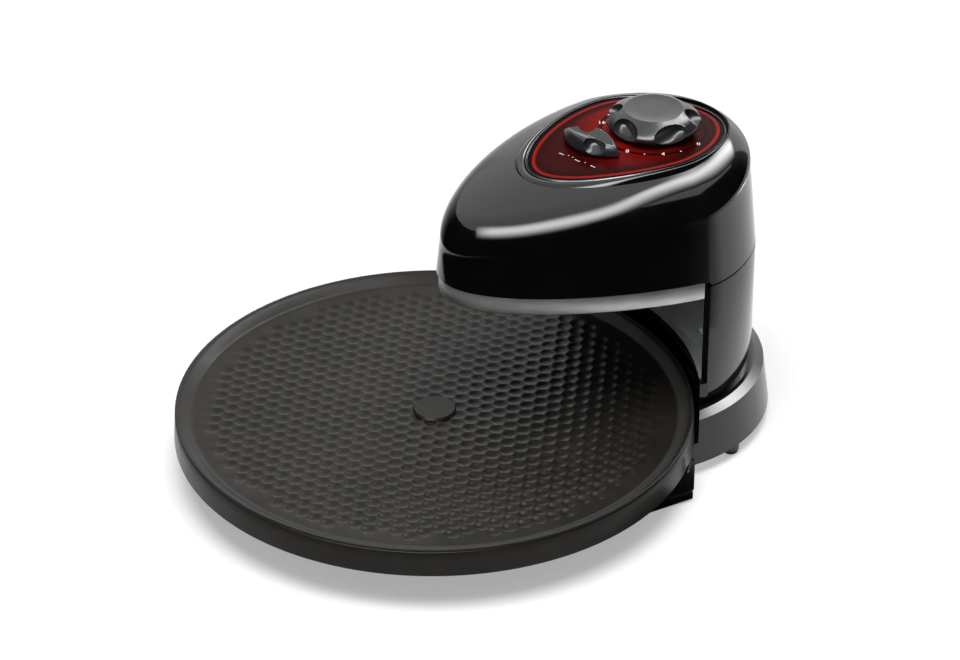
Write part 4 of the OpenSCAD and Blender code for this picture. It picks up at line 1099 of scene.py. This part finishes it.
# tray
tray = {
    "radius": 165, "rimTop": 43.5, "floor": 38, "rimWidth": 2, "slopeWidth": 8, "skirtBottom": 24.8,
    "flare": 0.94, "sheet": 1.4, "join": 3, "sides": 240,
    "pitch": 9.84, "latticeTurn": 25.1, "latticeFrom": (0.18, -43.37), "fieldRadius": 143.5, "cells": 18,
    "dimple": ((4.35, -0.16), (3.1, -0.66), (1.5, -0.98)),  # radius and depth of its rings
}


def makeDimpleField():  # one dimpled hexagon, repeated along two directions and trimmed to a round field
    pitch, cells = tray["pitch"], tray["cells"]
    turn = math.radians(tray["latticeTurn"])
    stepA, stepB = (Vector((pitch * math.cos(a), pitch * math.sin(a), 0)) for a in (turn, turn + math.pi / 3))
    corner = pitch / math.sqrt(3) * mm
    bpy.ops.mesh.primitive_circle_add(vertices=12, radius=corner, fill_type="NGON", rotation=(0, 0, turn))
    field = newPiece("dimpleField")
    settle(field)
    for i, vertex in enumerate(field.data.vertices):
        if i % 2:  # the middle of a hexagon side lies nearer than its corners
            vertex.co *= math.cos(math.pi / 6)
    bpy.ops.object.mode_set(mode="EDIT")
    bpy.ops.mesh.select_mode(type="FACE")
    bpy.ops.mesh.select_all(action="SELECT")
    for radius, depth in tray["dimple"]:
        bpy.ops.mesh.inset(thickness=0.3 * mm)
        mesh = bmesh.from_edit_mesh(field.data)
        for vertex in mesh.verts:
            if vertex.select:
                flat = Vector((vertex.co.x, vertex.co.y, 0)).normalized() * radius
                vertex.co = Vector((flat.x, flat.y, depth)) * mm
        bmesh.update_edit_mesh(field.data)
    bpy.ops.object.mode_set(mode="OBJECT")
    start = Vector((*tray["latticeFrom"], 0)) - cells * stepA - cells * stepB
    field.location = at(start.x, start.y, tray["floor"])
    settle(field)
    for step in (stepA, stepB):
        rows = field.modifiers.new("rows", "ARRAY")
        rows.count = 2 * cells + 5
        rows.use_relative_offset = False
        rows.use_constant_offset = True
        rows.constant_offset_displace = step * mm
        rows.use_merge_vertices = True
        rows.merge_threshold = 1e-5
        applyModifier(field, rows)
    # cells past the edge of the field go
    bpy.ops.object.mode_set(mode="EDIT")
    bpy.ops.mesh.select_mode(type="FACE")
    bpy.ops.mesh.select_all(action="DESELECT")
    mesh = bmesh.from_edit_mesh(field.data)
    origin, cross = Vector(tray["latticeFrom"]), stepA.x * stepB.y - stepA.y * stepB.x
    for face in mesh.faces:
        middle = face.calc_center_median() / mm
        p = Vector((middle.x, middle.y - axisY)) - origin
        u, v = (p.x * stepB.y - p.y * stepB.x) / cross, (stepA.x * p.y - stepA.y * p.x) / cross
        near = min(((p - (a * stepA + b * stepB).xy).length, a, b)
                   for a in (math.floor(u), math.floor(u) + 1) for b in (math.floor(v), math.floor(v) + 1))
        cell = origin + (near[1] * stepA + near[2] * stepB).xy
        face.select = cell.length > tray["fieldRadius"]
    bmesh.update_edit_mesh(field.data)
    bpy.ops.mesh.delete(type="FACE")
    bpy.ops.mesh.select_all(action="SELECT")
    bpy.ops.mesh.remove_doubles(threshold=1e-5)
    bpy.ops.object.mode_set(mode="OBJECT")
    return field


def makeTray():
    r, top, floor, sheet = tray["radius"], tray["rimTop"], tray["floor"], tray["sheet"]
    rim = r - tray["rimWidth"]
    low = rim - tray["slopeWidth"]
    skirt, flare = tray["skirtBottom"], tray["flare"]
    join = low - tray["join"]
    out, sides = r + flare, tray["sides"]
    profile = [
        (join, floor), (low - 1.5, floor + 0.02), (low - 0.6, floor + 0.2), (low + 0.4, floor + 0.7),
        (low + 1.6, floor + 1.45), (rim - 2.4, top - 1.4), (rim - 1.2, top - 0.85), (rim - 0.4, top - 0.5),
        (rim + 0.2, top - 0.4), (r - 1.3, top - 0.3), (r - 1.05, top - 0.08), (r - 0.75, top),
        (r - 0.4, top - 0.06), (r - 0.12, top - 0.32), (r, top - 0.75), (r - 0.1, top - 1.2),
        (r - 0.55, top - 1.45), (r - 0.6, top - 1.8), (r - 0.1, top - 2.1), (r + 0.08, top - 2.5),
        (r + 0.4 * flare, (top + skirt) / 2 + 1), (out - 0.02, skirt + 1.2), (out, skirt + 0.3),
        (out - 0.25, skirt), (out - sheet + 0.25, skirt), (out - sheet, skirt + 0.3),
        (r - sheet, top - sheet - 1), (r - sheet - 1, top - sheet), (rim - 0.6, top - sheet),
        (low - 0.4, floor - sheet), (join, floor - sheet),
    ]
    piece = skin("trayPan", turned(profile, 0, 0, sides))
    field = makeDimpleField()
    # flat floor between the dimples and the rim
    bpy.ops.object.mode_set(mode="EDIT")
    bpy.ops.mesh.primitive_circle_add(vertices=sides, radius=join * mm, location=at(0, 0, floor))
    bpy.ops.mesh.select_mode(type="EDGE")
    bpy.ops.mesh.select_all(action="DESELECT")
    mesh = bmesh.from_edit_mesh(field.data)
    for edge in mesh.edges:
        edge.select = len(edge.link_faces) < 2
    bmesh.update_edit_mesh(field.data)
    bpy.ops.mesh.fill(use_beauty=True)
    bpy.ops.mesh.select_all(action="SELECT")
    bpy.ops.mesh.normals_make_consistent(inside=False)
    bpy.ops.object.mode_set(mode="OBJECT")
    if field.data.polygons[0].normal.z < 0:
        field.data.flip_normals()
    wall = field.modifiers.new("sheet", "SOLIDIFY")
    wall.thickness = sheet * mm
    wall.offset = -1
    wall.use_rim = False
    applyModifier(field, wall)
    joinInto(piece, [field])
    mendMesh(1e-5)
    return piece


finishPiece(makeHeadShell(), "base", ["head_shell"], "shell_gloss", 30)
finishPiece(makeMoulding(), "base", ["panel_frame"], "shell_gloss", 30)
finishPiece(makePanelRing(), "base", ["panel_bezel"], "ring_chrome", 50)
finishPiece(makePanelFace(), "base", ["panel_insert"], "panel_red")
finishPiece(makeMarks(), "base", [], "panel_red", 35, "print")
finishPiece(makeBand(), "base", ["heat_shroud"], "band_metal", 40)
print("head ready")
finishPiece(makeTower(), "base", ["tower_shell"], "shell_gloss", 40)
finishPiece(makeWingShoes(), "base", [], "shell_gloss", 35, "baseBlack")
print("tower ready")
finishPiece(makeTimerKnob(), "timer", ["timer_knob"], "knob_grey")
finishPiece(makeSelectorKnob(), "selector", ["selector_knob"], "knob_grey")
print("knobs ready")
finishPiece(makeTray(), "tray", ["tray_pan"], "nonstick", 40)
print("tray ready")
